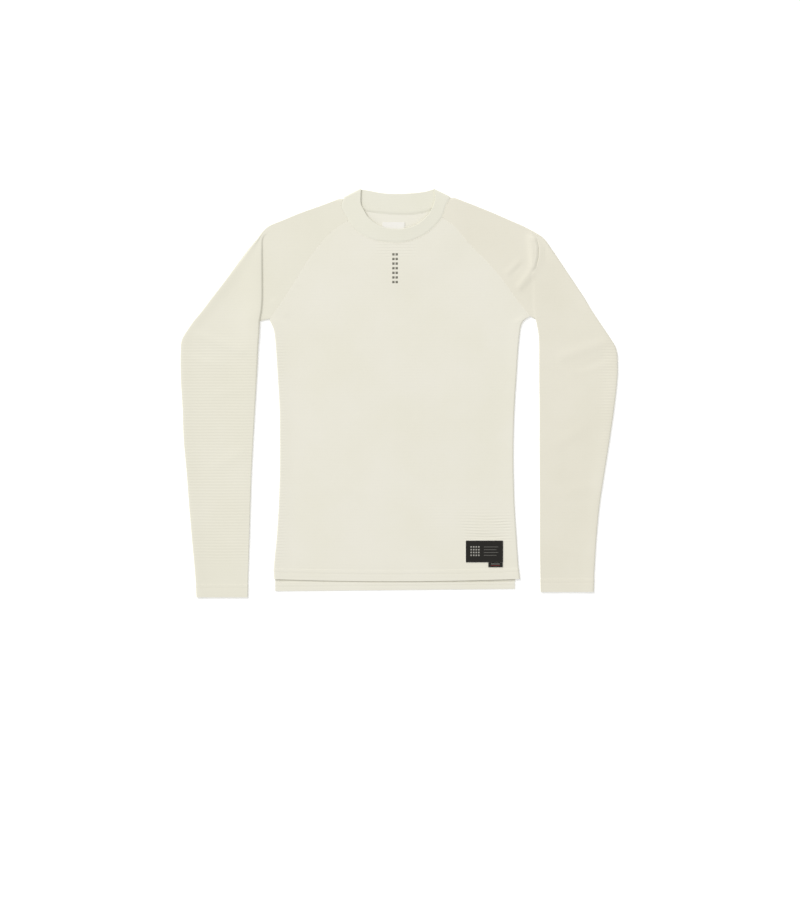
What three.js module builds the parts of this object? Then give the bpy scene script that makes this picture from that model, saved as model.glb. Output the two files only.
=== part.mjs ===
// Long-sleeved thermal base layer top, laid flat on its back.
// Millimetres. +X is the viewer's right, +Y points to the neck, +Z is up, and the back lies on z = 0.
import * as THREE from "three";

// Cloth
const CLOTH = 1.2; // wall of the brushed thermal knit
const SEAM_GAP = 0.34; // between two pieces at a seam
const LAYER_GAP = 0.3; // between two cloths that lie on each other
const HEM_EXTRA = 0.5; // what a turned-up hem adds to the wall
const BACK_LEVEL = CLOTH / 2; // middle of the back layer
const FRONT_LEVEL = 2.4; // middle of the front layer
const SIDE_END = CLOTH + LAYER_GAP; // where the front's wall ends above the back at a side seam
const FOLD_RADIUS = 1.35; // middle of the wall at the sleeve's outer fold
const SIDE_PUFF = 0.7; // rise of the front layer beside a side seam
const PUFF_REACH = 14; // how far from an edge that rise has died away

// Neck
const NECK_CENTRE = { x: -3, y: 290 };
const NECK_RISE = 0.9; // lift of the front layer round the collar
const NECK_NEAR = 80; // full lift inside this distance from the neck's centre
const NECK_FAR = 135; // no lift beyond this
const COLLAR_WALL = 2.0; // double band
const COLLAR_FRONT_LEVEL = 3.5; // middle of the band at its front seam
const COLLAR_RIM_FOLD = 4.4; // middle of the band's rim where the ring folds
const COLLAR_RIM_FRONT = 5.8; // middle of the band's rim at the front centre

// Hems
const HEM_HEIGHT = 18;
const CUFF_HEM_HEIGHT = 21;
const FRONT_HEM_SAG = 3.7; // how much lower the front hem is in its middle

// Labels
const LABEL_WALL = 1.0;
const NECK_LABEL = { left: -28, right: 9, top: 282.5, bottom: 262 };
const HEM_PATCH = { left: 110, right: 171, top: -243, bottom: -278.5 };
const PATCH_TAB = { left: 147, right: 170.5, top: -278.8, bottom: -286.5 };

// Turns rows of numbers into rows with named columns.
function table(names, rows) {
  return rows.map((row) => Object.fromEntries(names.map((name, i) => [name, row[i]])));
}

// Left shoulder: x is measured outwards. outer is the fold along the shoulder, crease the edge of
// the arm that lies over the shoulder, rise its height, width how softly it comes down, seam the
// front collar seam and then the front raglan seam, back the same seams of the back.
const SHOULDER_LEFT = table(["y", "outer", "crease", "rise", "width", "seam", "back"], [
  [320.5, 98.8, 95.0, 0.0, 0.6, 92.4, 90.0],
  [309.0, 129.4, 121.0, 0.0, 4.0, 95.6, 78.0],
  [296.0, 165.8, 153.0, 0.0, 6.0, 90.3, 87.0],
  [285.0, 192.2, 180.0, 0.0, 6.0, 84.5, 94.7],
  [276.0, 214.0, 201.0, 0.0, 6.0, 98.3, 101.1],
  [266.0, 225.6, 217.0, 0.2, 4.0, 111.7, 108.1],
  [256.0, 233.0, 225.0, 1.5, 3.2, 121.9, 115.0],
  [236.0, 249.5, 226.3, 2.7, 2.6, 138.2, 129.0],
  [216.0, 264.5, 226.4, 3.1, 2.3, 152.9, 143.1],
  [187.0, 285.7, 226.2, 3.1, 2.3, 170.2, 163.8],
  [157.0, 308.9, 226.2, 3.1, 2.3, 189.6, 184.8],
  [137.0, 323.9, 227.6, 3.1, 2.3, 203.0, 198.7],
  [130.0, 329.6, 228.8, 3.0, 2.3, 208.0, 204.8],
  [123.5, 335.2, 230.0, 2.9, 2.3, 213.0, 212.0],
]);
const SHOULDER_RIGHT = table(["y", "outer", "crease", "rise", "width", "seam", "back"], [
  [322.5, 90.5, 86.4, 0.0, 0.9, 83.6, 82.0],
  [309.0, 125.2, 116.0, 0.0, 5.0, 76.6, 67.3],
  [297.0, 154.8, 145.0, 0.0, 6.0, 72.9, 77.4],
  [290.5, 169.8, 159.0, 0.0, 6.0, 71.0, 82.4],
  [282.5, 188.0, 177.0, 0.0, 6.0, 81.5, 88.9],
  [275.5, 204.0, 191.0, 0.0, 6.0, 90.4, 94.7],
  [266.0, 222.4, 208.0, 0.0, 6.0, 99.2, 102.5],
  [256.0, 237.3, 223.5, 0.3, 6.0, 107.2, 110.6],
  [236.0, 252.1, 229.2, 0.5, 4.5, 125.3, 126.8],
  [216.0, 265.6, 226.5, 0.5, 4.5, 145.8, 143.2],
  [187.0, 285.0, 222.0, 0.45, 4.0, 170.7, 167.1],
  [157.0, 304.9, 221.6, 0.45, 3.6, 191.9, 191.6],
  [137.0, 316.7, 222.3, 0.5, 3.4, 207.6, 207.7],
  [127.5, 323.1, 223.6, 0.6, 3.4, 215.4, 215.6],
]);

// Arms: outer is the fold on the far side, inner the underarm seam's edge, rise the height that
// is left there of the shoulder's fold.
const ARM_LEFT = table(["y", "outer", "inner", "rise"], [
  [119.5, 338.5, 230.6, 2.8],
  [98.0, 353.2, 231.3, 2.6],
  [88.0, 358.2, 232.2, 2.4],
  [76.0, 360.0, 233.0, 2.2],
  [28.0, 360.0, 235.5, 1.4],
  [-24.0, 357.0, 238.6, 0.8],
  [-77.0, 355.0, 241.7, 0.5],
  [-130.0, 350.3, 244.4, 0.5],
  [-183.0, 346.3, 246.2, 0.5],
  [-236.0, 341.8, 247.8, 0.4],
  [-288.0, 337.0, 249.5, 0.3],
  [-336.3, 333.5, 251.0, 0.2],
]);
const ARM_RIGHT = table(["y", "outer", "inner", "rise"], [
  [122.0, 326.6, 225.8, 0.6],
  [98.0, 342.8, 230.3, 0.7],
  [78.0, 355.4, 231.2, 0.7],
  [66.0, 358.8, 231.3, 0.7],
  [54.0, 359.6, 231.3, 0.7],
  [28.0, 359.4, 231.3, 0.6],
  [-24.0, 353.8, 232.0, 0.5],
  [-77.0, 346.2, 232.0, 0.5],
  [-130.0, 337.9, 232.2, 0.4],
  [-183.0, 329.9, 232.3, 0.5],
  [-236.0, 324.8, 232.5, 0.4],
  [-288.0, 321.5, 233.0, 0.3],
  [-327.4, 319.8, 234.0, 0.2],
]);

// Sides of the body from the underarm to the hem, measured outwards.
const BODY_SIDES = table(["y", "left", "right"], [
  [127.5, 213.6, 215.6],
  [123.5, 213.2, 208.6],
  [118.5, 211.9, 203.4],
  [112.0, 209.0, 200.4],
  [104.0, 206.0, 198.8],
  [78.0, 203.2, 196.0],
  [28.0, 200.0, 192.7],
  [-24.0, 197.0, 189.4],
  [-77.0, 196.4, 187.8],
  [-130.0, 196.6, 187.8],
  [-183.0, 198.3, 189.4],
  [-236.0, 201.7, 192.7],
  [-288.0, 206.4, 196.2],
  [-306.5, 205.2, 198.2],
]);
const BACK_HEM = { left: { x: -204.6, y: -326.2 }, right: { x: 190.6, y: -322.4 } };
const VENT = { top: -250, left: 0.4, right: 6.6 }; // how far the back draws in below the vents' top

// Front neck seam between the two raglan seams, and the rim of the collar.
const NECK_SEAM_FRONT = [[-84.5, 285], [-69.6, 267.6], [-44.2, 253.8], [-20, 249.6], [2, 248.6],
  [35, 258.1], [57, 274.2], [71, 290.5]];
const NECK_SEAM_BACK = [[-78, 309], [-57.6, 301], [-30, 296.6], [-3.6, 294.9], [26, 295.3],
  [45.4, 299], [67.3, 309]];
const RIM_FRONT = [[-63, 336.3], [-62.6, 311], [-56.8, 301], [-52.6, 292.4], [-32, 276.4],
  [-3.6, 270.9], [26, 277], [46, 292.4], [52, 301], [57, 312.7], [59.2, 326], [56, 336.9]];
const RIM_BACK = [[56, 336.9], [46, 333.6], [16, 328.9], [-23.4, 328.9], [-53, 335], [-63, 336.3]];

// Value of a column at height y, on a smooth curve through the rows.
function read(rows, column, y) {
  const last = rows.length - 1;
  let i = 0;
  while (i < last - 1 && rows[i + 1].y > y) i += 1;
  const slopeAt = (k) => {
    const before = rows[Math.max(k - 1, 0)];
    const after = rows[Math.min(k + 1, last)];
    return (after[column] - before[column]) / (after.y - before.y);
  };
  const step = rows[i + 1].y - rows[i].y;
  const s = THREE.MathUtils.clamp((y - rows[i].y) / step, 0, 1);
  const s2 = s * s;
  const s3 = s2 * s;
  const start = (2 * s3 - 3 * s2 + 1) * rows[i][column] + (s3 - 2 * s2 + s) * step * slopeAt(i);
  const end = (3 * s2 - 2 * s3) * rows[i + 1][column] + (s3 - s2) * step * slopeAt(i + 1);
  return start + end;
}

// Change of a column for each millimetre of y.
function slope(rows, column, y) {
  return (read(rows, column, y + 1) - read(rows, column, y - 1)) / 2;
}

// Numbers from first to last in equal steps.
function spread(first, last, steps) {
  return Array.from({ length: steps + 1 }, (_, i) => first + ((last - first) * i) / steps);
}

function plane(points) {
  return new THREE.CatmullRomCurve3(
    points.map(([x, y]) => new THREE.Vector3(x, y, 0)), false, "centripetal");
}

// Height of a curve's point at x, for a curve that runs from left to right.
function heightAt(curve, x) {
  let [low, high] = [0, 1];
  for (let i = 0; i < 40; i += 1) {
    const middle = (low + high) / 2;
    if (curve.getPoint(middle).x < x) low = middle;
    else high = middle;
  }
  return curve.getPoint(low).y;
}

// A wall of cloth about a grid of middle points. Its normal side is the upper one where rows run
// down the body and columns run to the right. extra(row, column) thickens it on that side, or on
// the other side where it is negative. A ring's last row joins its first.
function wall(grid, thickness, { extra = () => 0, ring = false } = {}) {
  const rows = grid.length;
  const columns = grid[0].length;
  const rowAt = (i) => (ring ? (i + rows) % rows : THREE.MathUtils.clamp(i, 0, rows - 1));
  const upper = [];
  const lower = [];
  for (let i = 0; i < rows; i += 1) {
    for (let j = 0; j < columns; j += 1) {
      const across = grid[i][Math.min(j + 1, columns - 1)].clone().sub(grid[i][Math.max(j - 1, 0)]);
      const along = grid[rowAt(i + 1)][j].clone().sub(grid[rowAt(i - 1)][j]);
      const normal = along.cross(across).normalize();
      const half = thickness(i, j) / 2;
      const more = extra(i, j);
      upper.push(grid[i][j].clone().addScaledVector(normal, half + Math.max(more, 0)));
      lower.push(grid[i][j].clone().addScaledVector(normal, -half + Math.min(more, 0)));
    }
  }
  const points = [...upper, ...lower];
  const under = rows * columns;
  const faces = [];
  const quad = (a, b, c, d) => faces.push(a, b, c, a, c, d);
  const at = (i, j) => rowAt(i) * columns + j;
  for (let i = 0; i < (ring ? rows : rows - 1); i += 1) {
    for (let j = 0; j < columns - 1; j += 1) {
      quad(at(i, j), at(i, j + 1), at(i + 1, j + 1), at(i + 1, j));
      quad(under + at(i, j), under + at(i + 1, j), under + at(i + 1, j + 1), under + at(i, j + 1));
    }
    quad(at(i, 0), at(i + 1, 0), under + at(i + 1, 0), under + at(i, 0));
    const end = columns - 1;
    quad(at(i + 1, end), at(i, end), under + at(i, end), under + at(i + 1, end));
  }
  for (let j = 0; !ring && j < columns - 1; j += 1) {
    const end = rows - 1;
    quad(at(0, j + 1), at(0, j), under + at(0, j), under + at(0, j + 1));
    quad(at(end, j), at(end, j + 1), under + at(end, j + 1), under + at(end, j));
  }
  const geometry = new THREE.BufferGeometry();
  geometry.setAttribute("position",
    new THREE.Float32BufferAttribute(points.flatMap((p) => p.toArray()), 3));
  geometry.setIndex(volumeOf(points, faces) < 0 ? faces.reverse() : faces);
  geometry.computeVertexNormals();
  return geometry;
}

function volumeOf(points, faces) {
  let six = 0;
  for (let f = 0; f < faces.length; f += 3) {
    const [a, b, c] = [0, 1, 2].map((k) => points[faces[f + k]]);
    six += a.dot(b.clone().cross(c));
  }
  return six / 6;
}

// Middle of the front layer away from edges and creases.
function frontLevel(x, y) {
  const reach = Math.hypot(x - NECK_CENTRE.x, y - NECK_CENTRE.y);
  const lift = 1 - THREE.MathUtils.smoothstep(reach, NECK_NEAR, NECK_FAR);
  return FRONT_LEVEL + NECK_RISE * lift;
}

// Rise that dies away from an edge.
function puff(distance, reach) {
  return Math.exp(-((distance / reach) ** 2));
}

// Soft ridges and troughs of the front layer: a line from a to b, its height and half-width.
const CREASES = table(["ax", "ay", "bx", "by", "height", "half"], [
  [216, 196, 199, 176, 1.2, 6],
  [217, 258, 220.5, 208, 1.4, 5],
  [196, 216, 180, 200, 0.6, 5],
  [-205, 150, -188, 132, 0.5, 6],
  [-330, 96, -262, 70, 0.7, 9],
  [338, 84, 270, 60, 0.7, 9],
  [-300, -120, -262, -98, 0.4, 10],
  [300, -60, 262, -84, 0.4, 10],
]);
function creaseHeight(x, y) {
  return CREASES.reduce((sum, { ax, ay, bx, by, height, half }) => {
    const [lx, ly] = [bx - ax, by - ay];
    const length2 = lx * lx + ly * ly;
    const t = THREE.MathUtils.clamp(((x - ax) * lx + (y - ay) * ly) / length2, 0, 1);
    const away = Math.hypot(x - ax - t * lx, y - ay - t * ly);
    return sum + height * Math.exp(-((away / half) ** 2));
  }, 0);
}

// The sections of a sleeve, from the neck to the cuff. Each has its y, how much of it is
// armhole (0) or arm (1), and a way to read its columns.
const NECK_ROWS_LEFT = [320.5, 314.5, 309, 301.5, 293.5, 285];
const NECK_ROWS_RIGHT = [322.5, 315.5, 309, 302.5, 296.5, 290.5];
const BACK_NECK_ROW = 2; // the section where the back raglan seam starts
const RAGLAN_STEPS = 14;
const LEFT = {
  name: "left", sign: -1, shoulder: SHOULDER_LEFT, arm: ARM_LEFT, neckRows: NECK_ROWS_LEFT,
};
const RIGHT = {
  name: "right", sign: 1, shoulder: SHOULDER_RIGHT, arm: ARM_RIGHT, neckRows: NECK_ROWS_RIGHT,
};

for (const side of [LEFT, RIGHT]) {
  const raglanTop = side.neckRows.at(-1);
  const underarm = side.shoulder.at(-1).y;
  side.raglanRows = spread(raglanTop, underarm, RAGLAN_STEPS);
  const first = side.arm[0].y;
  const elbow = first - 58;
  const cuff = side.arm.at(-1).y;
  side.armRows = [...spread(first, elbow, 4), ...spread(elbow, cuff + CUFF_HEM_HEIGHT, 7).slice(1),
    cuff + CUFF_HEM_HEIGHT - 1.5, cuff];
}

// Front half of a sleeve's section: from its seam over the crease to the top of the outer fold.
const SEAM_STEPS = 3;
const CREASE_STEPS = 7;
const TOP_STEPS = 5;
const TURN_STEPS = 6;
const UNDER_STEPS = 3;
const STEEP = 1.6; // most that a slanting edge widens its turn

function sleeveSection(side, y, isArm) {
  const rows = isArm ? side.arm : side.shoulder;
  const outer = read(rows, "outer", y);
  const turn = FOLD_RADIUS * Math.min(Math.hypot(1, slope(rows, "outer", y)), STEEP);
  const crease = read(rows, isArm ? "inner" : "crease", y);
  const rise = read(rows, "rise", y);
  const width = isArm ? 2.2 : read(rows, "width", y);
  const gap = (column) => (SEAM_GAP / 2) * Math.hypot(1, slope(rows, column, y));
  const point = (x, z) => new THREE.Vector3(side.sign * x, y, z);
  const level = (x) => frontLevel(side.sign * x, y) + creaseHeight(side.sign * x, y);
  const armHeight = (x) => {
    const away = outer - turn - x;
    const fold = BACK_LEVEL + 2 * FOLD_RADIUS - FRONT_LEVEL;
    const reach = Math.min(PUFF_REACH, 0.4 * (outer - turn - crease - width));
    return level(x) + fold * puff(away, reach) + rise * puff(x - crease - width, 2 * PUFF_REACH);
  };
  const top = point(crease + width, armHeight(crease + width));
  const section = [];
  if (isArm) {
    const knee = point(crease, SIDE_END + 0.7);
    const foot = point(crease, SIDE_END);
    for (let k = 0; k < SEAM_STEPS; k += 1) {
      section.push(foot.clone().lerp(knee, k / SEAM_STEPS));
    }
    const bend = new THREE.CubicBezierCurve3(
      knee, point(crease, SIDE_END + 1.6), point(crease + width * 0.2, top.z), top);
    for (let k = 0; k < CREASE_STEPS; k += 1) section.push(bend.getPoint(k / CREASE_STEPS));
  } else {
    const seamX = read(rows, "seam", y) + gap("seam");
    const base = Math.max(crease - width, seamX + 0.3 * (crease - seamX));
    for (let k = 0; k < SEAM_STEPS; k += 1) {
      const x = seamX + ((base - seamX) * k) / SEAM_STEPS;
      section.push(point(x, level(x)));
    }
    const lean = width * (rise > 1 ? 0.75 : 0);
    const bend = new THREE.CubicBezierCurve3(
      point(base, level(base)),
      point(base + (crease - base) * 0.66 + lean, level(base)),
      point(crease + width * 0.34 - lean, top.z), top);
    for (let k = 0; k < CREASE_STEPS; k += 1) section.push(bend.getPoint(k / CREASE_STEPS));
  }
  const turnStart = outer - turn;
  for (let k = 0; k < TOP_STEPS; k += 1) {
    const x = THREE.MathUtils.lerp(crease + width, turnStart, k / TOP_STEPS);
    section.push(point(x, armHeight(x)));
  }
  for (let k = 0; k <= TURN_STEPS; k += 1) {
    const angle = Math.PI * (0.5 - k / TURN_STEPS);
    section.push(point(turnStart + turn * Math.cos(angle),
      BACK_LEVEL + FOLD_RADIUS * (1 + Math.sin(angle))));
  }
  const end = isArm ? crease - CLOTH / 2 : read(rows, "back", y) + gap("back");
  for (let k = 1; k <= UNDER_STEPS; k += 1) {
    section.push(point(THREE.MathUtils.lerp(turnStart, end, k / UNDER_STEPS), BACK_LEVEL));
  }
  return section;
}

function sleeve(side) {
  const shoulderRows = [...side.neckRows, ...side.raglanRows.slice(1)];
  const grid = [
    ...shoulderRows.map((y) => sleeveSection(side, y, false)),
    ...side.armRows.map((y) => sleeveSection(side, y, true)),
  ];
  const front = SEAM_STEPS + CREASE_STEPS + TOP_STEPS + TURN_STEPS / 2;
  const hem = (i, j) => (i >= grid.length - 2 && j < front ? side.sign * HEM_EXTRA : 0);
  return wall(grid, () => CLOTH, { extra: hem });
}

// Distances of the body's columns from a side edge, and the columns between them.
const EDGE_COLUMNS = [0, 0.35, 0.8, 1.6, 5, 13];
const MIDDLE_COLUMNS = 12;

// One section of the front from the left edge to the right edge. part is 0 on the armhole, and 1
// on the side seam, where the wall comes down to the back.
function frontSection(left, right, part, bend) {
  const inner = EDGE_COLUMNS.at(-1);
  const middle = spread(left.x + inner, right.x - inner, MIDDLE_COLUMNS).slice(1, -1);
  const xs = [
    ...EDGE_COLUMNS.map((d) => left.x + d),
    ...middle,
    ...EDGE_COLUMNS.map((d) => right.x - d).reverse(),
  ];
  return xs.map((x) => {
    const y = THREE.MathUtils.mapLinear(x, left.x, right.x, left.y, right.y) + bend(x);
    return new THREE.Vector3(x, y, frontHeight(x, y, left.x, right.x, part));
  });
}

function frontHeight(x, y, left, right, part) {
  const away = Math.max(Math.min(x - left, right - x), 0);
  const level = frontLevel(x, y) + creaseHeight(x, y) + part * SIDE_PUFF * puff(away, PUFF_REACH);
  const radius = EDGE_COLUMNS[3];
  const drop = 1 - Math.sqrt(1 - Math.max(1 - away / radius, 0) ** 2);
  return THREE.MathUtils.lerp(level, SIDE_END, part * drop);
}

// Heights of the body's sections below the underarm, down to a hem.
function sideRows(underarm, hem) {
  return [underarm - 4, underarm - 9, underarm - 17, ...spread(underarm - 42, hem + HEM_HEIGHT, 8),
    hem + HEM_HEIGHT - 1.5, hem];
}

// A panel's edge at the raglan seam, set back by its half of the gap.
function raglanEdge(side, y, column) {
  const gap = (SEAM_GAP / 2) * Math.hypot(1, slope(side.shoulder, column, y));
  return new THREE.Vector3(side.sign * (read(side.shoulder, column, y) - gap), y, 0);
}

function sideEdge(side, y, drawnIn = 0) {
  return new THREE.Vector3(side.sign * (read(BODY_SIDES, side.name, y) - drawnIn), y, 0);
}

const FRONT_HEM = { left: -306.5, right: -306 };
const neckFront = plane(NECK_SEAM_FRONT);
const neckBack = plane(NECK_SEAM_BACK);

function frontGrid() {
  const grid = [];
  for (let k = 0; k <= RAGLAN_STEPS; k += 1) {
    const [left, right] = [LEFT, RIGHT].map((side) => raglanEdge(side, side.raglanRows[k], "seam"));
    const fade = 1 - THREE.MathUtils.smoothstep(k / RAGLAN_STEPS, 0, 1);
    grid.push(frontSection(left, right, 0, (x) => fade * neckDip(neckFront, x, left, right)));
  }
  const rows = [LEFT, RIGHT].map((side) => (
    sideRows(side.shoulder.at(-1).y, FRONT_HEM[side.name])));
  for (let k = 0; k < rows[0].length; k += 1) {
    const [left, right] = [LEFT, RIGHT].map((side, i) => sideEdge(side, rows[i][k]));
    const part = Math.min((k + 1) / 2, 1);
    const sag = k >= rows[0].length - 3 ? FRONT_HEM_SAG : FRONT_HEM_SAG * (k / rows[0].length) ** 3;
    const half = (right.x - left.x) / 2;
    const centre = (right.x + left.x) / 2;
    grid.push(frontSection(left, right, part, (x) => -sag * (1 - ((x - centre) / half) ** 2)));
  }
  return grid;
}

// How far a neck seam lies below the straight line between its ends, at a share of the width.
function neckDip(curve, x, left, right) {
  const share = (x - left.x) / (right.x - left.x);
  const [start, end] = [curve.getPoint(0), curve.getPoint(1)];
  const seamX = THREE.MathUtils.lerp(start.x, end.x, share);
  return heightAt(curve, seamX) - THREE.MathUtils.lerp(start.y, end.y, share);
}

function frontPanel(grid) {
  grid[0].forEach((p) => p.setY(p.y - SEAM_GAP / 2));
  return wall(grid, () => CLOTH, { extra: (i) => (i >= grid.length - 2 ? HEM_EXTRA : 0) });
}

function backGrid() {
  const grid = [];
  const rowsOf = (side) => [...side.neckRows.slice(BACK_NECK_ROW), ...side.raglanRows.slice(1)];
  const [leftRows, rightRows] = [LEFT, RIGHT].map(rowsOf);
  const section = (left, right, bend) => spread(left.x, right.x, 10).map((x) => new THREE.Vector3(
    x, THREE.MathUtils.mapLinear(x, left.x, right.x, left.y, right.y) + bend(x), BACK_LEVEL));
  leftRows.forEach((y, k) => {
    const left = raglanEdge(LEFT, y, "back");
    const right = raglanEdge(RIGHT, rightRows[k], "back");
    const fade = 1 - THREE.MathUtils.smoothstep(k / leftRows.length, 0, 0.6);
    grid.push(section(left, right, (x) => fade * neckDip(neckBack, x, left, right)));
  });
  const rows = [LEFT, RIGHT].map((side) => sideRows(side.shoulder.at(-1).y, FRONT_HEM.left));
  for (let k = 0; k < rows[0].length; k += 1) {
    const [left, right] = [LEFT, RIGHT].map((side, i) => {
      const y = rows[i][k];
      const share = THREE.MathUtils.smoothstep(-y, -VENT.top, -FRONT_HEM.left);
      return sideEdge(side, y, share * VENT[side.name]);
    });
    grid.push(section(left, right, () => 0));
  }
  const corner = ({ x, y }) => new THREE.Vector3(x, y, 0);
  const [left, right] = [corner(BACK_HEM.left), corner(BACK_HEM.right)];
  const shelf = FRONT_HEM.left - FRONT_HEM_SAG - 1.5;
  grid.push(section(left.clone().setY(shelf), right.clone().setY(shelf), () => 0));
  grid.push(section(left.clone().setY(shelf - 1), right.clone().setY(shelf - 1), () => 0));
  grid.push(section(left, right, () => 0));
  return grid;
}

function backPanel(grid) {
  grid[0].forEach((p) => p.setY(p.y - SEAM_GAP / 2));
  return wall(grid, () => CLOTH, { extra: (i) => (i >= grid.length - 2 ? HEM_EXTRA : 0) });
}

// The collar's ring: stations along the seams of its neighbours, and the rim above them.
function collar(front, back) {
  const seam = (side, column) => side.neckRows.map((y) => new THREE.Vector3(
    side.sign * read(side.shoulder, column, y), y, 0));
  const frontSeam = [
    ...seam(LEFT, "seam"),
    ...front[0].slice(4, -4).map((p) => p.clone().setZ(0)),
    ...seam(RIGHT, "seam").reverse(),
  ];
  const backSeam = [
    ...seam(RIGHT, "back").slice(0, BACK_NECK_ROW + 1),
    ...back[0].slice(1, -1).map((p) => p.clone().setZ(0)).reverse(),
    ...seam(LEFT, "back").slice(0, BACK_NECK_ROW + 1).reverse(),
  ];
  const rimFront = plane(RIM_FRONT);
  const rimBack = plane(RIM_BACK);
  const shares = (points) => {
    const lengths = [0];
    points.slice(1).forEach((p, i) => lengths.push(lengths[i] + p.distanceTo(points[i])));
    return lengths.map((l) => l / lengths.at(-1));
  };
  const lanes = [0, 0.34, 0.67, 0.92, 0.975, 1];
  const section = (bottom, top) => {
    const start = bottom.clone().addScaledVector(top.clone().sub(bottom).normalize(), SEAM_GAP / 2);
    return lanes.map((lane) => start.clone().lerp(top, lane));
  };
  const grid = [];
  shares(frontSeam).forEach((share, i) => {
    const top = rimFront.getPointAt(THREE.MathUtils.clamp(share, 0.012, 0.988));
    top.z = COLLAR_RIM_FOLD + (COLLAR_RIM_FRONT - COLLAR_RIM_FOLD) * Math.sin(Math.PI * share);
    grid.push(section(frontSeam[i].clone().setZ(COLLAR_FRONT_LEVEL), top));
  });
  const turn = (from, to, outward) => {
    for (const angle of [-0.35, 0, 0.35].map((share) => share * Math.PI)) {
      const row = from.map((p, j) => {
        const half = (p.z - to[j].z) / 2;
        const middle = p.clone().add(to[j]).multiplyScalar(0.5);
        middle.addScaledVector(outward, half * Math.cos(angle));
        return middle.setZ((p.z + to[j].z) / 2 - half * Math.sin(angle));
      });
      grid.push(row);
    }
  };
  const backRows = shares(backSeam).map((share, i) => section(
    backSeam[i].clone().setZ(COLLAR_WALL / 2),
    rimBack.getPointAt(THREE.MathUtils.clamp(share, 0.015, 0.985)).setZ(COLLAR_WALL / 2)));
  const first = grid[0];
  turn(grid.at(-1), backRows[0], new THREE.Vector3(0.5, 1.15, 0));
  grid.push(...backRows);
  const before = grid.length;
  turn(first, backRows.at(-1), new THREE.Vector3(-0.75, 1.65, 0));
  const lastTurn = grid.splice(before).reverse();
  grid.push(...lastTurn);
  const rim = lanes.length - 1;
  return wall(grid, (i, j) => (j === rim ? COLLAR_WALL * 0.5 : COLLAR_WALL), { ring: true });
}

// A label that lies on a surface whose upper face is given by height(x, y).
function label({ left, right, top, bottom }, height, steps) {
  const grid = spread(top, bottom, steps).map((y) => spread(left, right, steps).map((x) => (
    new THREE.Vector3(x, y, height(x, y) + LAYER_GAP + LABEL_WALL / 2))));
  return wall(grid, () => LABEL_WALL);
}

const frontTop = (x, y) => {
  const [left, right] = ["left", "right"].map((name) => read(BODY_SIDES, name, y));
  return frontHeight(x, y, -left, right, 1) + CLOTH / 2;
};

const FINISHES = {
  cream: { color: "#e9e6d8", roughness: 0.92 },
  white: { color: "#f3f1ea", roughness: 0.8 },
  black: { color: "#2e2d2b", roughness: 0.85 },
};

const front = frontGrid();
const back = backGrid();
const PIECES = [
  ["front_panel", "cream", frontPanel(front)],
  ["back_panel", "cream", backPanel(back)],
  ["sleeve_left", "cream", sleeve(LEFT)],
  ["sleeve_right", "cream", sleeve(RIGHT)],
  ["collar", "cream", collar(front, back)],
  ["neck_label", "white", label(NECK_LABEL, () => CLOTH, 3)],
  ["hem_patch", "black", label(HEM_PATCH, frontTop, 6)],
  ["patch_tab", "black", label(PATCH_TAB, frontTop, 3)],
];

const garment = new THREE.Group();
for (const [name, finish, geometry] of PIECES) {
  const material = new THREE.MeshStandardMaterial({ ...FINISHES[finish], metalness: 0 });
  const mesh = new THREE.Mesh(geometry, material);
  mesh.name = name;
  garment.add(mesh);
}

// The origin is the middle of the outline in plan, on the face that the top lies on.
const middle = new THREE.Box3().setFromObject(garment).getCenter(new THREE.Vector3());
garment.position.set(-middle.x, -middle.y, 0);
const top = new THREE.Group();
top.add(garment);

export default top;
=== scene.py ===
import math

import bmesh
import bpy
from mathutils import Matrix, Vector


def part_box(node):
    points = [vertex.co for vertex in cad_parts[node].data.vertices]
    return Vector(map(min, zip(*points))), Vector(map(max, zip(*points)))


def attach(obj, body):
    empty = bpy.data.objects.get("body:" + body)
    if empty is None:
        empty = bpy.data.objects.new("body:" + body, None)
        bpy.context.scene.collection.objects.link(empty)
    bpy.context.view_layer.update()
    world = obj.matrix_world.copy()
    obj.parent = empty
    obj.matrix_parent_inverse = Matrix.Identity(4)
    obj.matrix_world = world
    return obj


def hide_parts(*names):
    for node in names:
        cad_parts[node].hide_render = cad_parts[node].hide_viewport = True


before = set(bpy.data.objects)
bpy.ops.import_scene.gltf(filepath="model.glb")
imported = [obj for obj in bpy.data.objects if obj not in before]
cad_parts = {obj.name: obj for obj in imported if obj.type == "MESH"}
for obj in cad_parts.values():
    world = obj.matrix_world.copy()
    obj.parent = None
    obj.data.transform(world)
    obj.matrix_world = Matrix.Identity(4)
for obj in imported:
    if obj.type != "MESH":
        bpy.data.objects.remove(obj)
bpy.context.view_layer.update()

# Where it is looked at from. The top lies flat on a white table, and the camera looks straight
# down on it from four metres up, so that nothing leans in the view.
LENS = 100.0
SENSOR = 36.0
VIEW_HEIGHT = 1.485  # metres of table from the bottom of the view to its top
VIEW_MIDDLE = (0.0019, -0.0944)

camera_data = bpy.data.cameras.new("camera")
camera_data.lens = LENS
camera_data.sensor_width = SENSOR
camera = bpy.data.objects.new("camera", camera_data)
camera.location = (*VIEW_MIDDLE, VIEW_HEIGHT * LENS / SENSOR)
bpy.context.collection.objects.link(camera)
bpy.context.scene.camera = camera
bpy.context.scene.view_settings.view_transform = "Standard"


def linear(hex_colour):
    """The linear colour of an sRGB hex value."""
    parts = [int(hex_colour[i:i + 2], 16) / 255 for i in (1, 3, 5)]
    parts = [p / 12.92 if p <= 0.04045 else ((p + 0.055) / 1.055) ** 2.4 for p in parts]
    return (*parts, 1.0)


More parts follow.
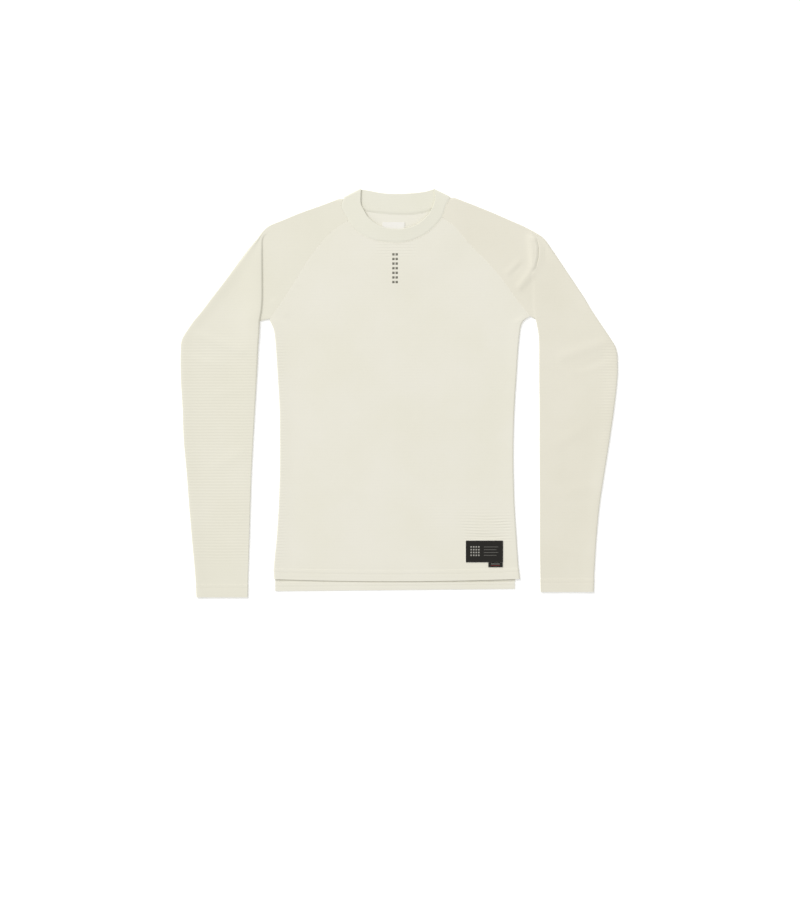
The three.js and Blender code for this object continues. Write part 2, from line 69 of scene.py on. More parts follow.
def add_node(tree, kind, inputs=None, **settings):
    """Adds a node with its settings, and links or sets its inputs."""
    made = tree.nodes.new(kind)
    for name, value in settings.items():
        setattr(made, name, value)
    for name, value in (inputs or {}).items():
        if isinstance(value, bpy.types.NodeSocket):
            tree.links.new(value, made.inputs[name])
        else:
            made.inputs[name].default_value = value
    return made


def new_material(name):
    """A material with an empty node tree and its output."""
    made = bpy.data.materials.new(name)
    made.use_nodes = True
    made.node_tree.nodes.clear()
    return made, made.node_tree, made.node_tree.nodes.new("ShaderNodeOutputMaterial")


def placed(name, build, material):
    """The finished mesh as an object, already where it belongs."""
    data = bpy.data.meshes.new(name)
    build.to_mesh(data)
    build.free()
    data.materials.append(material)
    made = bpy.data.objects.new(name, data)
    bpy.context.collection.objects.link(made)
    return made


# The table: a matt white board that the light makes as bright as paper.
TABLE_SIZE = 12.0
TABLE_BELOW = 0.0004  # keeps the table's face clear of the cloth that lies on it
table_mesh = bmesh.new()
bmesh.ops.create_grid(table_mesh, x_segments=1, y_segments=1, size=TABLE_SIZE / 2)
bmesh.ops.translate(table_mesh, vec=(0, 0, -TABLE_BELOW), verts=table_mesh.verts)
matt_white, tree, output = new_material("matt_white_board")
board = add_node(tree, "ShaderNodeBsdfPrincipled", {
    "Base Color": linear("#fafafa"), "Roughness": 0.95, "Specular IOR Level": 0.1,
    "Emission Color": linear("#ffffff"), "Emission Strength": 0.22})
tree.links.new(board.outputs[0], output.inputs[0])
placed("table", table_mesh, matt_white)

# The light: a white room, and one wide soft lamp from the upper left, so that folds still show.
ROOM_LIGHT = 0.62
LAMP_WATTS = 1650.0
LAMP_SIZE = 10.5
LAMP_DISTANCE = 16.0
LAMP_FROM = Vector((-0.62, 0.62, 0.78)).normalized()

room = bpy.data.worlds.new("white_room")
room.use_nodes = True
room.node_tree.nodes["Background"].inputs["Color"].default_value = (1, 1, 1, 1)
room.node_tree.nodes["Background"].inputs["Strength"].default_value = ROOM_LIGHT
bpy.context.scene.world = room
lamp_data = bpy.data.lights.new("soft_lamp", "AREA")
lamp_data.shape = "DISK"
lamp_data.energy = LAMP_WATTS
lamp_data.size = LAMP_SIZE
lamp = bpy.data.objects.new("soft_lamp", lamp_data)
lamp.location = LAMP_FROM * LAMP_DISTANCE
lamp.rotation_euler = LAMP_FROM.to_track_quat("Z", "Y").to_euler()
bpy.context.collection.objects.link(lamp)

# Sleeves: each is one sheet of brushed thermal knit, folded along its outer edge and closed by a
# seam under the arm. It is cut up to the neck, so a slanting seam joins it to the front and back.
# Sizes are in millimetres from the middle of the pattern, and x is measured outwards.
CLOTH = 1.2
SEAM_GAP = 0.05  # as sewn: the solids keep 0.34 mm
LAYER_GAP = 0.3
HEM_EXTRA = 0.5
BACK_LEVEL = CLOTH / 2
FRONT_LEVEL = 2.4
SIDE_END = CLOTH + LAYER_GAP
FOLD_RADIUS = 1.35
SIDE_PUFF = 0.7
PUFF_REACH = 14.0
CUFF_HEM_HEIGHT = 21.0
NECK_CENTRE = (-3.0, 290.0)
NECK_RISE = 0.9
NECK_NEAR = 80.0
NECK_FAR = 135.0

label_low, label_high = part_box("neck_label")
SHIFT = Vector((label_low[0] * 1000 + 28.0, label_high[1] * 1000 - 282.5, 0.0))


def rows_of(names, rows):
    """Rows of numbers as rows with named columns."""
    return [dict(zip(names.split(), row)) for row in rows]


SHOULDER_LEFT = rows_of("y outer crease rise width seam back", [
    (320.5, 98.8, 95, 0, 0.6, 92.4, 90),
    (309, 129.4, 121, 0, 4, 95.6, 78),
    (296, 165.8, 153, 0, 6, 90.3, 87),
    (285, 192.2, 180, 0, 6, 84.5, 94.7),
    (276, 214, 201, 0, 6, 98.3, 101.1),
    (266, 225.6, 217, 0.2, 4, 111.7, 108.1),
    (256, 233, 225, 1.5, 3.2, 121.9, 115),
    (236, 249.5, 226.3, 2.7, 2.6, 138.2, 129),
    (216, 264.5, 226.4, 3.1, 2.3, 152.9, 143.1),
    (187, 285.7, 226.2, 3.1, 2.3, 170.2, 163.8),
    (157, 308.9, 226.2, 3.1, 2.3, 189.6, 184.8),
    (137, 323.9, 227.6, 3.1, 2.3, 203, 198.7),
    (130, 329.6, 228.8, 3, 2.3, 208, 204.8),
    (123.5, 335.2, 230, 2.9, 2.3, 213, 212),
])
SHOULDER_RIGHT = rows_of("y outer crease rise width seam back", [
    (322.5, 90.5, 86.4, 0, 0.9, 83.6, 82),
    (309, 125.2, 116, 0, 5, 76.6, 67.3),
    (297, 154.8, 145, 0, 6, 72.9, 77.4),
    (290.5, 169.8, 159, 0, 6, 71, 82.4),
    (282.5, 188, 177, 0, 6, 81.5, 88.9),
    (275.5, 204, 191, 0, 6, 90.4, 94.7),
    (266, 222.4, 208, 0, 6, 99.2, 102.5),
    (256, 237.3, 223.5, 0.3, 6, 107.2, 110.6),
    (236, 252.1, 229.2, 0.5, 4.5, 125.3, 126.8),
    (216, 265.6, 226.5, 0.5, 4.5, 145.8, 143.2),
    (187, 285, 222, 0.45, 4, 170.7, 167.1),
    (157, 304.9, 221.6, 0.45, 3.6, 191.9, 191.6),
    (137, 316.7, 222.3, 0.5, 3.4, 207.6, 207.7),
    (127.5, 323.1, 223.6, 0.6, 3.4, 215.4, 215.6),
])
ARM_LEFT = rows_of("y outer inner rise", [
    (119.5, 338.5, 230.6, 2.8),
    (98, 353.2, 231.3, 2.6),
    (88, 358.2, 232.2, 2.4),
    (76, 360, 233, 2.2),
    (28, 360, 235.5, 1.4),
    (-24, 357, 238.6, 0.8),
    (-77, 355, 241.7, 0.5),
    (-130, 350.3, 244.4, 0.5),
    (-183, 346.3, 246.2, 0.5),
    (-236, 341.8, 247.8, 0.4),
    (-288, 337, 249.5, 0.3),
    (-336.3, 333.5, 251, 0.2),
])
ARM_RIGHT = rows_of("y outer inner rise", [
    (122, 326.6, 225.8, 0.6),
    (98, 342.8, 230.3, 0.7),
    (78, 355.4, 231.2, 0.7),
    (66, 358.8, 231.3, 0.7),
    (54, 359.6, 231.3, 0.7),
    (28, 359.4, 231.3, 0.6),
    (-24, 353.8, 232, 0.5),
    (-77, 346.2, 232, 0.5),
    (-130, 337.9, 232.2, 0.4),
    (-183, 329.9, 232.3, 0.5),
    (-236, 324.8, 232.5, 0.4),
    (-288, 321.5, 233, 0.3),
    (-327.4, 319.8, 234, 0.2),
])
SIDES = [{"name": name, "sign": sign, "shoulder": shoulder, "arm": arm, "raglan": raglan,
          "top": shoulder[0]["y"], "armpit": shoulder[-1]["y"], "arm_top": arm[0]["y"],
          "cuff": arm[-1]["y"]}
         for name, sign, shoulder, arm, raglan in (
             ("left", -1, SHOULDER_LEFT, ARM_LEFT, 285.0),
             ("right", 1, SHOULDER_RIGHT, ARM_RIGHT, 290.5))]
LEFT, RIGHT = SIDES


def read(rows, column, y):
    """Value of a column at height y, on a smooth curve through the rows."""
    last = len(rows) - 1
    i = 0
    while i < last - 1 and rows[i + 1]["y"] > y:
        i += 1

    def slope_at(k):
        before, after = rows[max(k - 1, 0)], rows[min(k + 1, last)]
        return (after[column] - before[column]) / (after["y"] - before["y"])

    step = rows[i + 1]["y"] - rows[i]["y"]
    s = min(max((y - rows[i]["y"]) / step, 0.0), 1.0)
    start = (2 * s ** 3 - 3 * s * s + 1) * rows[i][column]
    start += (s ** 3 - 2 * s * s + s) * step * slope_at(i)
    end = (3 * s * s - 2 * s ** 3) * rows[i + 1][column] + (s ** 3 - s * s) * step * slope_at(i + 1)
    return start + end


def slope(rows, column, y):
    """Change of a column for each millimetre of y."""
    return (read(rows, column, y + 1) - read(rows, column, y - 1)) / 2


def mix(a, b, share):
    return a + (b - a) * share


def smooth(value, low, high):
    """0 below low, 1 above high, and a soft step between."""
    s = min(max((value - low) / (high - low), 0.0), 1.0)
    return s * s * (3 - 2 * s)


def spread(first, last, steps):
    """Numbers from first to last in equal steps."""
    return [mix(first, last, i / steps) for i in range(steps + 1)]


def puff(distance, reach):
    """Rise that dies away from an edge."""
    return math.exp(-((distance / reach) ** 2))


# Soft ridges (or troughs, below zero) of the upper layer: from a to b, height, half-width.
MAIN_CREASES = [
    (216, 196, 199, 176, 1.2, 6),
    (217, 258, 220.5, 208, 1.4, 5),
    (196, 216, 180, 200, 0.6, 5),
    (-205, 150, -188, 132, 0.5, 6),
    (-330, 96, -262, 70, 0.7, 9),
    (338, 84, 270, 60, 0.7, 9),
    (-300, -120, -262, -98, 0.4, 10),
    (300, -60, 262, -84, 0.4, 10),
]
# Smaller ones of the same kind, which fade towards both ends.
SMALL_CREASES = [
    (-182, 186, -164, 176, 0.35, 2.6),
    (-186, 174, -168, 164, 0.3, 2.4),
    (204, 214, 186, 196, -0.3, 3.0),
    (-222, 128, -196, 118, 0.3, 4.0),
    (212, 132, 192, 116, 0.35, 4.0),
    (-350, 76, -300, 52, -0.3, 6.0),
    (-348, 60, -284, 44, 0.35, 7.0),
    (350, 64, 300, 40, -0.3, 6.0),
    (352, 50, 284, 30, 0.35, 7.0),
    (-318, -6, -256, 6, 0.3, 9.0),
    (330, -150, 262, -168, 0.3, 9.0),
    (-150, 60, -60, 34, 0.25, 16.0),
    (60, -20, 150, -52, 0.25, 16.0),
    (-120, -150, -10, -176, 0.22, 15.0),
    (112, -236, 176, -238, -0.45, 4.5),
    (-288, -240, -262, -262, 0.25, 7.0),
    (300, -266, 248, -250, 0.25, 7.0),
]


# A sharper fold of the right shoulder, as x, y and height. The cloth rises in a slow swell beside
# this line and drops at it, and stands a little way up again behind it.
SHARP_FOLD = [(221.5, 268.0, 0.0), (226.5, 257.0, 1.1), (230.6, 240.0, 2.1), (229.6, 224.0, 1.8),
              (226.0, 208.0, 1.0), (216.0, 195.0, 0.55), (207.0, 184.0, 0.4), (199.5, 174.0, 0.0)]
SHARP_REACH = 8.0
SHARP_FALL = 4.2
SHARP_CURVE = 0.6
SHARP_BEHIND = 0.4
BEHIND_REACH = 0.9
SHARP_BOX = (185, 240, 165, 275)  # least and most x, least and most y that the fold can reach


def sharp_fold(x, y):
    """Rise of the sharp fold at a place on the right shoulder."""
    if not (SHARP_BOX[0] < x < SHARP_BOX[1] and SHARP_BOX[2] < y < SHARP_BOX[3]):
        return 0.0
    nearest, beside, height = 1e9, 0.0, 0.0
    for (ax, ay, low), (bx, by, high) in zip(SHARP_FOLD, SHARP_FOLD[1:]):
        lx, ly = bx - ax, by - ay
        t = min(max(((x - ax) * lx + (y - ay) * ly) / (lx * lx + ly * ly), 0.0), 1.0)
        away = math.hypot(x - ax - t * lx, y - ay - t * ly)
        if away < nearest:
            nearest, height = away, mix(low, high, t)
            beside = math.copysign(away, (x - ax) * ly - (y - ay) * lx)
    if beside < 0:
        behind = SHARP_BEHIND * smooth(-beside, 0.0, BEHIND_REACH)
        return height * behind * puff(beside, SHARP_REACH)
    fallen = min(beside / SHARP_FALL, 1.0) ** SHARP_CURVE
    return height * fallen * puff(max(beside - SHARP_FALL, 0.0), SHARP_REACH)


def line_rise(x, y, ax, ay, bx, by, half):
    """How close (x, y) is to a line, from 1 on it to 0 far away, and where along it."""
    lx, ly = bx - ax, by - ay
    along = min(max(((x - ax) * lx + (y - ay) * ly) / (lx * lx + ly * ly), 0.0), 1.0)
    away = math.hypot(x - ax - along * lx, y - ay - along * ly)
    return (puff(away, half) if away < 3.2 * half else 0.0), along


def level(x, y):
    """Middle of the upper layer away from its edges."""
    reach = math.hypot(x - NECK_CENTRE[0], y - NECK_CENTRE[1])
    height = FRONT_LEVEL + NECK_RISE * (1 - smooth(reach, NECK_NEAR, NECK_FAR))
    for ax, ay, bx, by, rise, half in MAIN_CREASES:
        height += rise * line_rise(x, y, ax, ay, bx, by, half)[0]
    for ax, ay, bx, by, rise, half in SMALL_CREASES:
        near, along = line_rise(x, y, ax, ay, bx, by, half)
        height += rise * near * (0.25 + 0.75 * math.sin(math.pi * along))
    return height


# Shallow hollows of the layer that the top lies on, which let it off the table here and there.
HOLLOWS = [
    (-150, 90, -40, 70, 0.35, 16),
    (60, -90, 150, -60, 0.3, 14),
    (-60, -210, 70, -190, 0.3, 18),
    (20, 160, 110, 190, 0.3, 15),
    (-330, 40, -275, 20, 0.35, 11),
    (-310, -150, -280, -190, 0.3, 10),
    (335, 20, 275, -10, 0.35, 11),
    (308, -120, 270, -170, 0.3, 10),
    (-225, 226, -195, 200, 0.3, 8),
    (222, 232, 180, 210, 0.3, 8),
]


def under_level(x, y):
    """Middle of the lower layer."""
    return BACK_LEVEL + sum(rise * line_rise(x, y, ax, ay, bx, by, half)[0]
                            for ax, ay, bx, by, rise, half in HOLLOWS)


def bezier(points, t):
    a, b, c, d = points
    s = 1 - t
    return s ** 3 * a + 3 * s * s * t * b + 3 * s * t * t * c + t ** 3 * d


SEAM_STEPS = 34
CREASE_STEPS = 16
TOP_STEPS = 28
TURN_STEPS = 10
UNDER_STEPS = 20
SEAM_COLUMNS = [0, 0.7, 1.5, 2.4, 4.0]
STEEP = 1.6
END_SHUT = 0.47  # the corner of a sleeve beside the collar's fold is sewn shut
FRONT_STEPS = SEAM_STEPS + CREASE_STEPS + TOP_STEPS + TURN_STEPS // 2


def sleeve_section(side, y, is_arm):
    """Middle of the cloth round a sleeve: front seam, crease, top, outer fold, back, seam."""
    rows = side["arm"] if is_arm else side["shoulder"]
    sign = side["sign"]
    outer = read(rows, "outer", y)
    flatter = 0.0 if is_arm else smooth(y, 252, 272)  # the fold lies flat along the shoulder
    beside_fold = mix(FRONT_LEVEL, level(sign * (outer - 2), y), flatter)
    radius = mix(FOLD_RADIUS, (beside_fold - BACK_LEVEL) / 2, flatter)
    turn = radius * min(math.hypot(1, slope(rows, "outer", y)), STEEP)
    crease = read(rows, "inner" if is_arm else "crease", y)
    rise = read(rows, "rise", y)
    width = 2.2 if is_arm else read(rows, "width", y)
    reach = min(PUFF_REACH, 0.4 * (outer - turn - crease - width))

    def point(x, z):
        return Vector((sign * x, y, z))

    def arm_height(x):
        fold = BACK_LEVEL + 2 * radius - beside_fold
        return (level(sign * x, y) + fold * puff(outer - turn - x, reach)
                + rise * puff(x - crease - width, 2 * PUFF_REACH))

    top = point(crease + width, arm_height(crease + width))
    if is_arm:
        foot, knee = point(crease, SIDE_END), point(crease, SIDE_END + 0.7)
        section = [foot.lerp(knee, k / SEAM_STEPS) for k in range(SEAM_STEPS)]
        bend = (knee, point(crease, SIDE_END + 1.6), point(crease + width * 0.2, top.z), top)
    else:
        gap = SEAM_GAP / 2 * math.hypot(1, slope(rows, "seam", y))
        seam_x = read(rows, "seam", y) + gap
        base = max(crease - width, seam_x + 0.3 * (crease - seam_x))
        near = [seam_x + d for d in SEAM_COLUMNS if d < 0.25 * (base - seam_x)]
        rest = SEAM_STEPS - len(near) + 1
        across = near[:-1] + [mix(near[-1], base, k / rest) for k in range(rest)]
        section = [point(x, level(sign * x, y)) for x in across]
        low = level(sign * base, y)
        lean = width * (0.75 if rise > 1 else 0)
        bend = (point(base, low), point(base + (crease - base) * 0.66 + lean, low),
                point(crease + width * 0.34 - lean, top.z), top)
    section += [bezier(bend, k / CREASE_STEPS) for k in range(CREASE_STEPS)]
    turn_start = outer - turn
    for k in range(TOP_STEPS):
        x = mix(crease + width, turn_start, k / TOP_STEPS)
        section.append(point(x, arm_height(x)))
    if sign > 0:
        for p in section:
            p.z += sharp_fold(p.x, y)
    for k in range(TURN_STEPS + 1):
        angle = math.pi * (0.5 - k / TURN_STEPS)
        section.append(point(turn_start + turn * math.cos(angle),
                             BACK_LEVEL + radius * (1 + math.sin(angle))))
    back_gap = SEAM_GAP / 2 * math.hypot(1, slope(rows, "back", y)) if not is_arm else 0
    end = crease - CLOTH / 2 if is_arm else read(rows, "back", y) + back_gap
    last = end + SEAM_COLUMNS[-1]
    under = [mix(turn_start, last, k / UNDER_STEPS) for k in range(1, UNDER_STEPS + 1)]
    section += [point(x, under_level(sign * x, y)) for x in under]
    return section + [point(end + d, BACK_LEVEL) for d in SEAM_COLUMNS[-2::-1]]


def sleeve_rows(side):
    """All sections of a sleeve from the neck to the cuff."""
    first, cuff, neck_end = side["arm_top"], side["cuff"], side["raglan"]
    heights = spread(side["top"], neck_end, 16) + spread(neck_end, side["armpit"], 66)[1:]
    sections = [sleeve_section(side, y, False) for y in heights]
    for p in sections[0]:
        p.z = mix(BACK_LEVEL, p.z, END_SHUT)
    armpit, start = sections[-1], sleeve_section(side, first, True)
    for share in (0.25, 0.5, 0.75):
        sections.append([a.lerp(b, share) for a, b in zip(armpit, start)])
    hem = cuff + CUFF_HEM_HEIGHT
    heights = spread(first, first - 90, 34) + spread(first - 90, hem + 3, 88)[1:]
    heights += [hem + 1.6, hem + 0.8, hem, hem - 0.8] + spread(hem - 2.5, cuff + 0.8, 16) + [cuff]
    return sections + [sleeve_section(side, y, True) for y in heights]


def cloth_wall(grid, half, extra=None, ring=False):
    """A closed wall of cloth about a grid of middle points, with each vertex's row and column.

    extra(p, j) thickens the wall on its normal side, or on the other one where it is below zero.
    """
    rows, columns = len(grid), len(grid[0])
    steps = rows if ring else rows - 1
    wall = bmesh.new()
    bmesh.ops.create_grid(wall, x_segments=columns - 1, y_segments=steps, size=1.0)
    thin = 0.3 / max(steps, columns)
    if ring:
        for vert in wall.verts:
            turn = math.pi * (1 - vert.co.y)
            vert.co = (math.cos(turn), math.sin(turn), (vert.co.x + 1) / 2)
        bmesh.ops.remove_doubles(wall, verts=wall.verts, dist=thin / 10)
    bmesh.ops.solidify(wall, geom=wall.faces[:], thickness=thin)
    for vert in wall.verts:
        x, y, z = vert.co
        if ring:
            i = round(math.atan2(y, x) / (2 * math.pi) * rows) % rows
            j = round(z * (columns - 1))
            upper = abs(math.hypot(x, y) - 1) < thin / 2
            before, after = grid[(i - 1) % rows], grid[(i + 1) % rows]
        else:
            i = round((1 - y) / 2 * steps)
            j = round((x + 1) / 2 * (columns - 1))
            upper = abs(z) < thin / 2
            before, after = grid[max(i - 1, 0)], grid[min(i + 1, rows - 1)]
        p = grid[i][j]
        across = grid[i][min(j + 1, columns - 1)] - grid[i][max(j - 1, 0)]
        normal = (after[j] - before[j]).cross(across).normalized()
        more = extra(i, j) if extra else 0.0
        out = half(i, j) + max(more, 0.0) if upper else -half(i, j) + min(more, 0.0)
        vert.co = (p + normal * out + SHIFT) * 0.001
    bmesh.ops.recalc_face_normals(wall, faces=wall.faces)
    return wall


PRESSED = 0.22  # how far a row of stitches presses the cloth, and a seam by this share of it
SEAM_SHARE = 0.4
SEAM_REACH = 1.3
STITCH_REACH = 0.9
EDGE_ROUNDING = 0.0002


def pressed_half(grid, sewn_rows, stitch_heights):
    """Half of a wall of cloth: thinner along its sewn side edges and along rows of stitches.

    stitch_heights are measured from the grid's last row.
    """
    def half(i, j):
        p = grid[i][j]
        near = max(puff(p.y - grid[-1][j].y - height, STITCH_REACH) for height in stitch_heights)
        if i < sewn_rows:
            for end in (grid[i][0], grid[i][-1]):
                near = max(near, SEAM_SHARE * puff((p - end).length, SEAM_REACH))
        return CLOTH / 2 - PRESSED * near
    return half


def within(value, low, full, still_full, high):
    """1 from full to still_full, and 0 below low and above high."""
    return smooth(value, low, full) * smooth(-value, -high, -still_full)


# Where the cross ribs of the knit show, because a fold or an edge pulls them: how strongly, and
# the borders in x and in y, each as low, full, still full and high.
RIB_EVERYWHERE = 0.1
RIB_ZONES = [
    (0.25, (92, 120, 178, 190), (-248, -243, -206, -188)),
    (0.35, (320, 345, 400, 500), (-235, -200, 60, 100)),
    (0.30, (-500, -400, -196, -178), (-300, -260, 60, 120)),
    (0.30, (-48, -28, 16, 36), (222, 232, 246, 254)),
]


def faint_ribs(x, y):
    """How strongly the cross ribs of the knit show at a place."""
    return RIB_EVERYWHERE + sum(strength * within(x, *across) * within(y, *down)
                                for strength, across, down in RIB_ZONES)


def cloth_object(name, wall, material, node):
    """The wall as an object that stands for a node, with where each point lies in the weave."""
    weave = wall.verts.layers.float_vector.new("weave")
    rib = wall.verts.layers.float.new("rib")
    for vert in wall.verts:
        vert[weave] = vert.co
        x, y, z = vert.co * 1000 - SHIFT
        vert[rib] = faint_ribs(x, y)
    for face in wall.faces:
        face.smooth = True
    made = placed(name, wall, material)
    rounded = made.modifiers.new("rounded_edges", "BEVEL")
    rounded.width = EDGE_ROUNDING
    rounded.segments = 2
    rounded.limit_method = "ANGLE"
    rounded.angle_limit = math.radians(60)
    rounded.harden_normals = True
    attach(made, "root")
    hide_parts(node)
    return made


# Brushed thermal knit: fine polyester and wool yarn, its face brushed so that it is matt and soft.
# The cross ribs are 4.8 mm apart. Its stitches are under 1 mm and are drawn twice as coarse.
RIB_PITCH = 0.0048
WALE_PITCH = 0.0018
COURSE_PITCH = 0.0015
# Paler tone of the inner face round the neck: partly the brushed inner face's own lighter colour,
# partly painted light that lifts the shade under the collar.
PALE_INSIDE_AND_PAINTED_LIGHT = "#f6f4ea"
# Painted shade in the hollows between the loops: a darker tone that the stitch pattern's depth
# mixes in.
PAINTED_SHADE_BETWEEN_LOOPS = "#cfc9b4"


def brushed_knit(name, colour, tint, rib_depth=0.0002):
    """The knit's finish: ribs, columns (wales) and rows (courses) of loops, and a soft nap."""
    made, tree, output = new_material(name)
    weave = add_node(tree, "ShaderNodeAttribute", attribute_name="weave").outputs["Vector"]
    place = add_node(tree, "ShaderNodeSeparateXYZ", {"Vector": weave})
    drift = add_node(tree, "ShaderNodeTexNoise", {"Vector": weave, "Scale": 18.0, "Detail": 1.0})
    nap = add_node(tree, "ShaderNodeTexNoise", {"Vector": weave, "Scale": 1100.0, "Detail": 2.0})
    cloudy = add_node(tree, "ShaderNodeTexNoise", {"Vector": weave, "Scale": 9.0, "Detail": 3.0})
    shown = add_node(tree, "ShaderNodeAttribute", attribute_name="rib").outputs["Fac"]
    # The pale attribute mixes in that paler tone: partly the inner face's own colour, partly
    # painted light.
    inner = add_node(tree, "ShaderNodeAttribute", attribute_name="pale").outputs["Fac"]
    made_of = {"x": place.outputs["X"], "y": place.outputs["Y"], "drift": drift.outputs[0],
               "shown": shown}
    for result, operation, *values in (
            ("along", "MULTIPLY_ADD", "drift", 0.0016, "y"),
            ("turn", "MULTIPLY", "along", 2 * math.pi / RIB_PITCH),
            ("swell", "SINE", "turn"),
            ("rib", "MULTIPLY", "swell", "shown"),
            ("across", "MULTIPLY", "x", math.pi / WALE_PITCH),
            ("column", "SINE", "across"),
            ("wale", "ABSOLUTE", "column"),
            ("lag", "MULTIPLY", "wale", 2.2),
            ("climb", "MULTIPLY_ADD", "y", 2 * math.pi / COURSE_PITCH, "lag"),
            ("course", "SINE", "climb"),
            ("loop", "MULTIPLY_ADD", "course", 0.3, 0.7),
            ("stitch", "MULTIPLY", "wale", "loop"),
            ("depth", "MULTIPLY_ADD", "stitch", -0.05, 0.05)):
        inputs = {k: made_of.get(value, value) for k, value in enumerate(values)}
        step = add_node(tree, "ShaderNodeMath", inputs, operation=operation)
        made_of[result] = step.outputs[0]
    rib_bump = add_node(tree, "ShaderNodeBump", {
        "Strength": 1.0, "Distance": rib_depth, "Height": made_of["rib"]})
    stitch_bump = add_node(tree, "ShaderNodeBump", {
        "Strength": 0.35, "Distance": 0.00016, "Height": made_of["stitch"],
        "Normal": rib_bump.outputs[0]})
    nap_bump = add_node(tree, "ShaderNodeBump", {
        "Strength": 0.25, "Distance": 0.0002, "Height": nap.outputs[0],
        "Normal": stitch_bump.outputs[0]})
    cloud = add_node(tree, "ShaderNodeMapRange", {
        "Value": cloudy.outputs[0], "From Min": 0.35, "From Max": 0.65})
    tone = linear(colour)
    # The last blend paints shade between the loops, by the depth of the stitch pattern.
    for factor, second in ((cloud.outputs[0], tint), (inner, PALE_INSIDE_AND_PAINTED_LIGHT),
                           (made_of["depth"], PAINTED_SHADE_BETWEEN_LOOPS)):
        blend = add_node(tree, "ShaderNodeMix", {
            "Factor": factor, "A": tone, "B": linear(second)}, data_type="RGBA")
        tone = blend.outputs["Result"]
    knit = add_node(tree, "ShaderNodeBsdfPrincipled", {
        "Base Color": tone, "Roughness": 0.92, "Specular IOR Level": 0.18,
        "Sheen Weight": 0.12, "Sheen Roughness": 0.45, "Normal": nap_bump.outputs[0]})
    tree.links.new(knit.outputs[0], output.inputs[0])
    return made


CUFF_STITCHES = (15.0, 20.3)  # rows of stitches above the cuff's edge
# The right sleeve's knit is a little darker than the left: painted shade, as the light falls off
# towards the right.
SLEEVE_COLOURS_WITH_PAINTED_SHADE = {"left": ("#e8e5d6", "#e6e3d3"), "right": ("#e8e4d5", "#e5e1d1")}
for side in SIDES:
    grid = sleeve_rows(side)
    cuff_edge = side["cuff"] + CUFF_HEM_HEIGHT

    def cuff_hem(i, j, grid=grid, side=side, edge=cuff_edge):
        doubled = grid[i][j].y <= edge + 0.1 and j < FRONT_STEPS
        return side["sign"] * HEM_EXTRA if doubled else 0.0

    sewn_rows = sum(1 for row in grid if row[0].y > side["arm_top"] + 4)
    wall = cloth_wall(grid, pressed_half(grid, sewn_rows, CUFF_STITCHES), cuff_hem)
    name = f"sleeve_{side['name']}"
    knit = brushed_knit(f"{name}_knit", *SLEEVE_COLOURS_WITH_PAINTED_SHADE[side["name"]])
    cloth_object(f"{name}_cloth", wall, knit, name)

# Front: one sheet of the same knit, shorter than the back, with a scooped neck, two slanting
# armholes and a turned-up hem. Its side seams bring it down to the back, where it is sewn on.
FRONT_HEM = {"left": -306.5, "right": -306.0}
FRONT_HEM_SAG = 3.7
HEM_HEIGHT = 18.0
EDGE_COLUMNS = [0, 0.14, 0.35, 0.6, 0.9, 1.25, 1.6, 2.6, 4.0, 6.0, 8.5, 11.0, 13.0]
EDGE_RADIUS = 1.6
MIDDLE_COLUMNS = 118
RIB_HEIGHT = 0.24
RIB_MILLIMETRES = RIB_PITCH * 1000

BODY_SIDES = rows_of("y left right", [
    (127.5, 213.6, 215.6),
    (123.5, 213.2, 208.6),
    (118.5, 211.9, 203.4),
    (112, 209, 200.4),
    (104, 206, 198.8),
    (78, 203.2, 196),
    (28, 200, 192.7),
    (-24, 197, 189.4),
    (-77, 196.4, 187.8),
    (-130, 196.6, 187.8),
    (-183, 198.3, 189.4),
    (-236, 201.7, 192.7),
    (-288, 206.4, 196.2),
    (-306.5, 205.2, 198.2),
])
NECK_SEAM_FRONT = [(-84.5, 285), (-69.6, 267.6), (-44.2, 253.8), (-20, 249.6), (2, 248.6),
                   (35, 258.1), (57, 274.2), (71, 290.5)]


def curve_through(points, steps=24):
    """A smooth curve through points, as many short steps (centripetal Catmull-Rom)."""
    points = [Vector((x, y, 0.0)) for x, y in points]
    ends = [points[0] * 2 - points[1], *points, points[-1] * 2 - points[-2]]
    curve = []
    for k in range(len(points) - 1):
        a, b, c, d = ends[k:k + 4]
        first, second, third = [math.sqrt((q - p).length) for p, q in ((a, b), (b, c), (c, d))]
        out = ((b - a) / first - (c - a) / (first + second) + (c - b) / second) * second
        into = ((c - b) / second - (d - b) / (second + third) + (d - c) / third) * second
        for i in range(steps):
            t = i / steps
            curve.append(b + out * t + (3 * (c - b) - 2 * out - into) * t * t
                         + (2 * (b - c) + out + into) * t ** 3)
    return [*curve, points[-1]]


def length_of(points):
    return sum((b - a).length for a, b in zip(points, points[1:]))


def shares_of(points):
    """How far along a line each of its points lies, from 0 to 1."""
    lengths = [0.0]
    for a, b in zip(points, points[1:]):
        lengths.append(lengths[-1] + (b - a).length)
    return [length / lengths[-1] for length in lengths]


def at_share(points, shares, share):
    """The point of a line at a share of its length."""
    k = 0
    while k < len(shares) - 2 and shares[k + 1] < share:
        k += 1
    return points[k].lerp(points[k + 1], (share - shares[k]) / (shares[k + 1] - shares[k]))


def height_of(curve, x):
    """Height of a curve that runs from left to right, at x."""
    for a, b in zip(curve, curve[1:]):
        if b.x >= x:
            return mix(a.y, b.y, (x - a.x) / (b.x - a.x))
    return curve[-1].y


def neck_dip(curve, share):
    """How far a neck seam lies below the straight line between its ends."""
    x = mix(curve[0].x, curve[-1].x, share)
    return height_of(curve, x) - mix(curve[0].y, curve[-1].y, share)


GROOVE_DEPTH = 0.1
GROOVE_REACH = 1.0


def sink_seam(grid, rows):
    """Draws the cloth down a little along its first row, where a seam holds it."""
    for row in grid[1:rows]:
        for j, p in enumerate(row):
            p.z -= GROOVE_DEPTH * puff((p - grid[0][j]).length, GROOVE_REACH)
    for p in grid[0]:
        p.z -= GROOVE_DEPTH


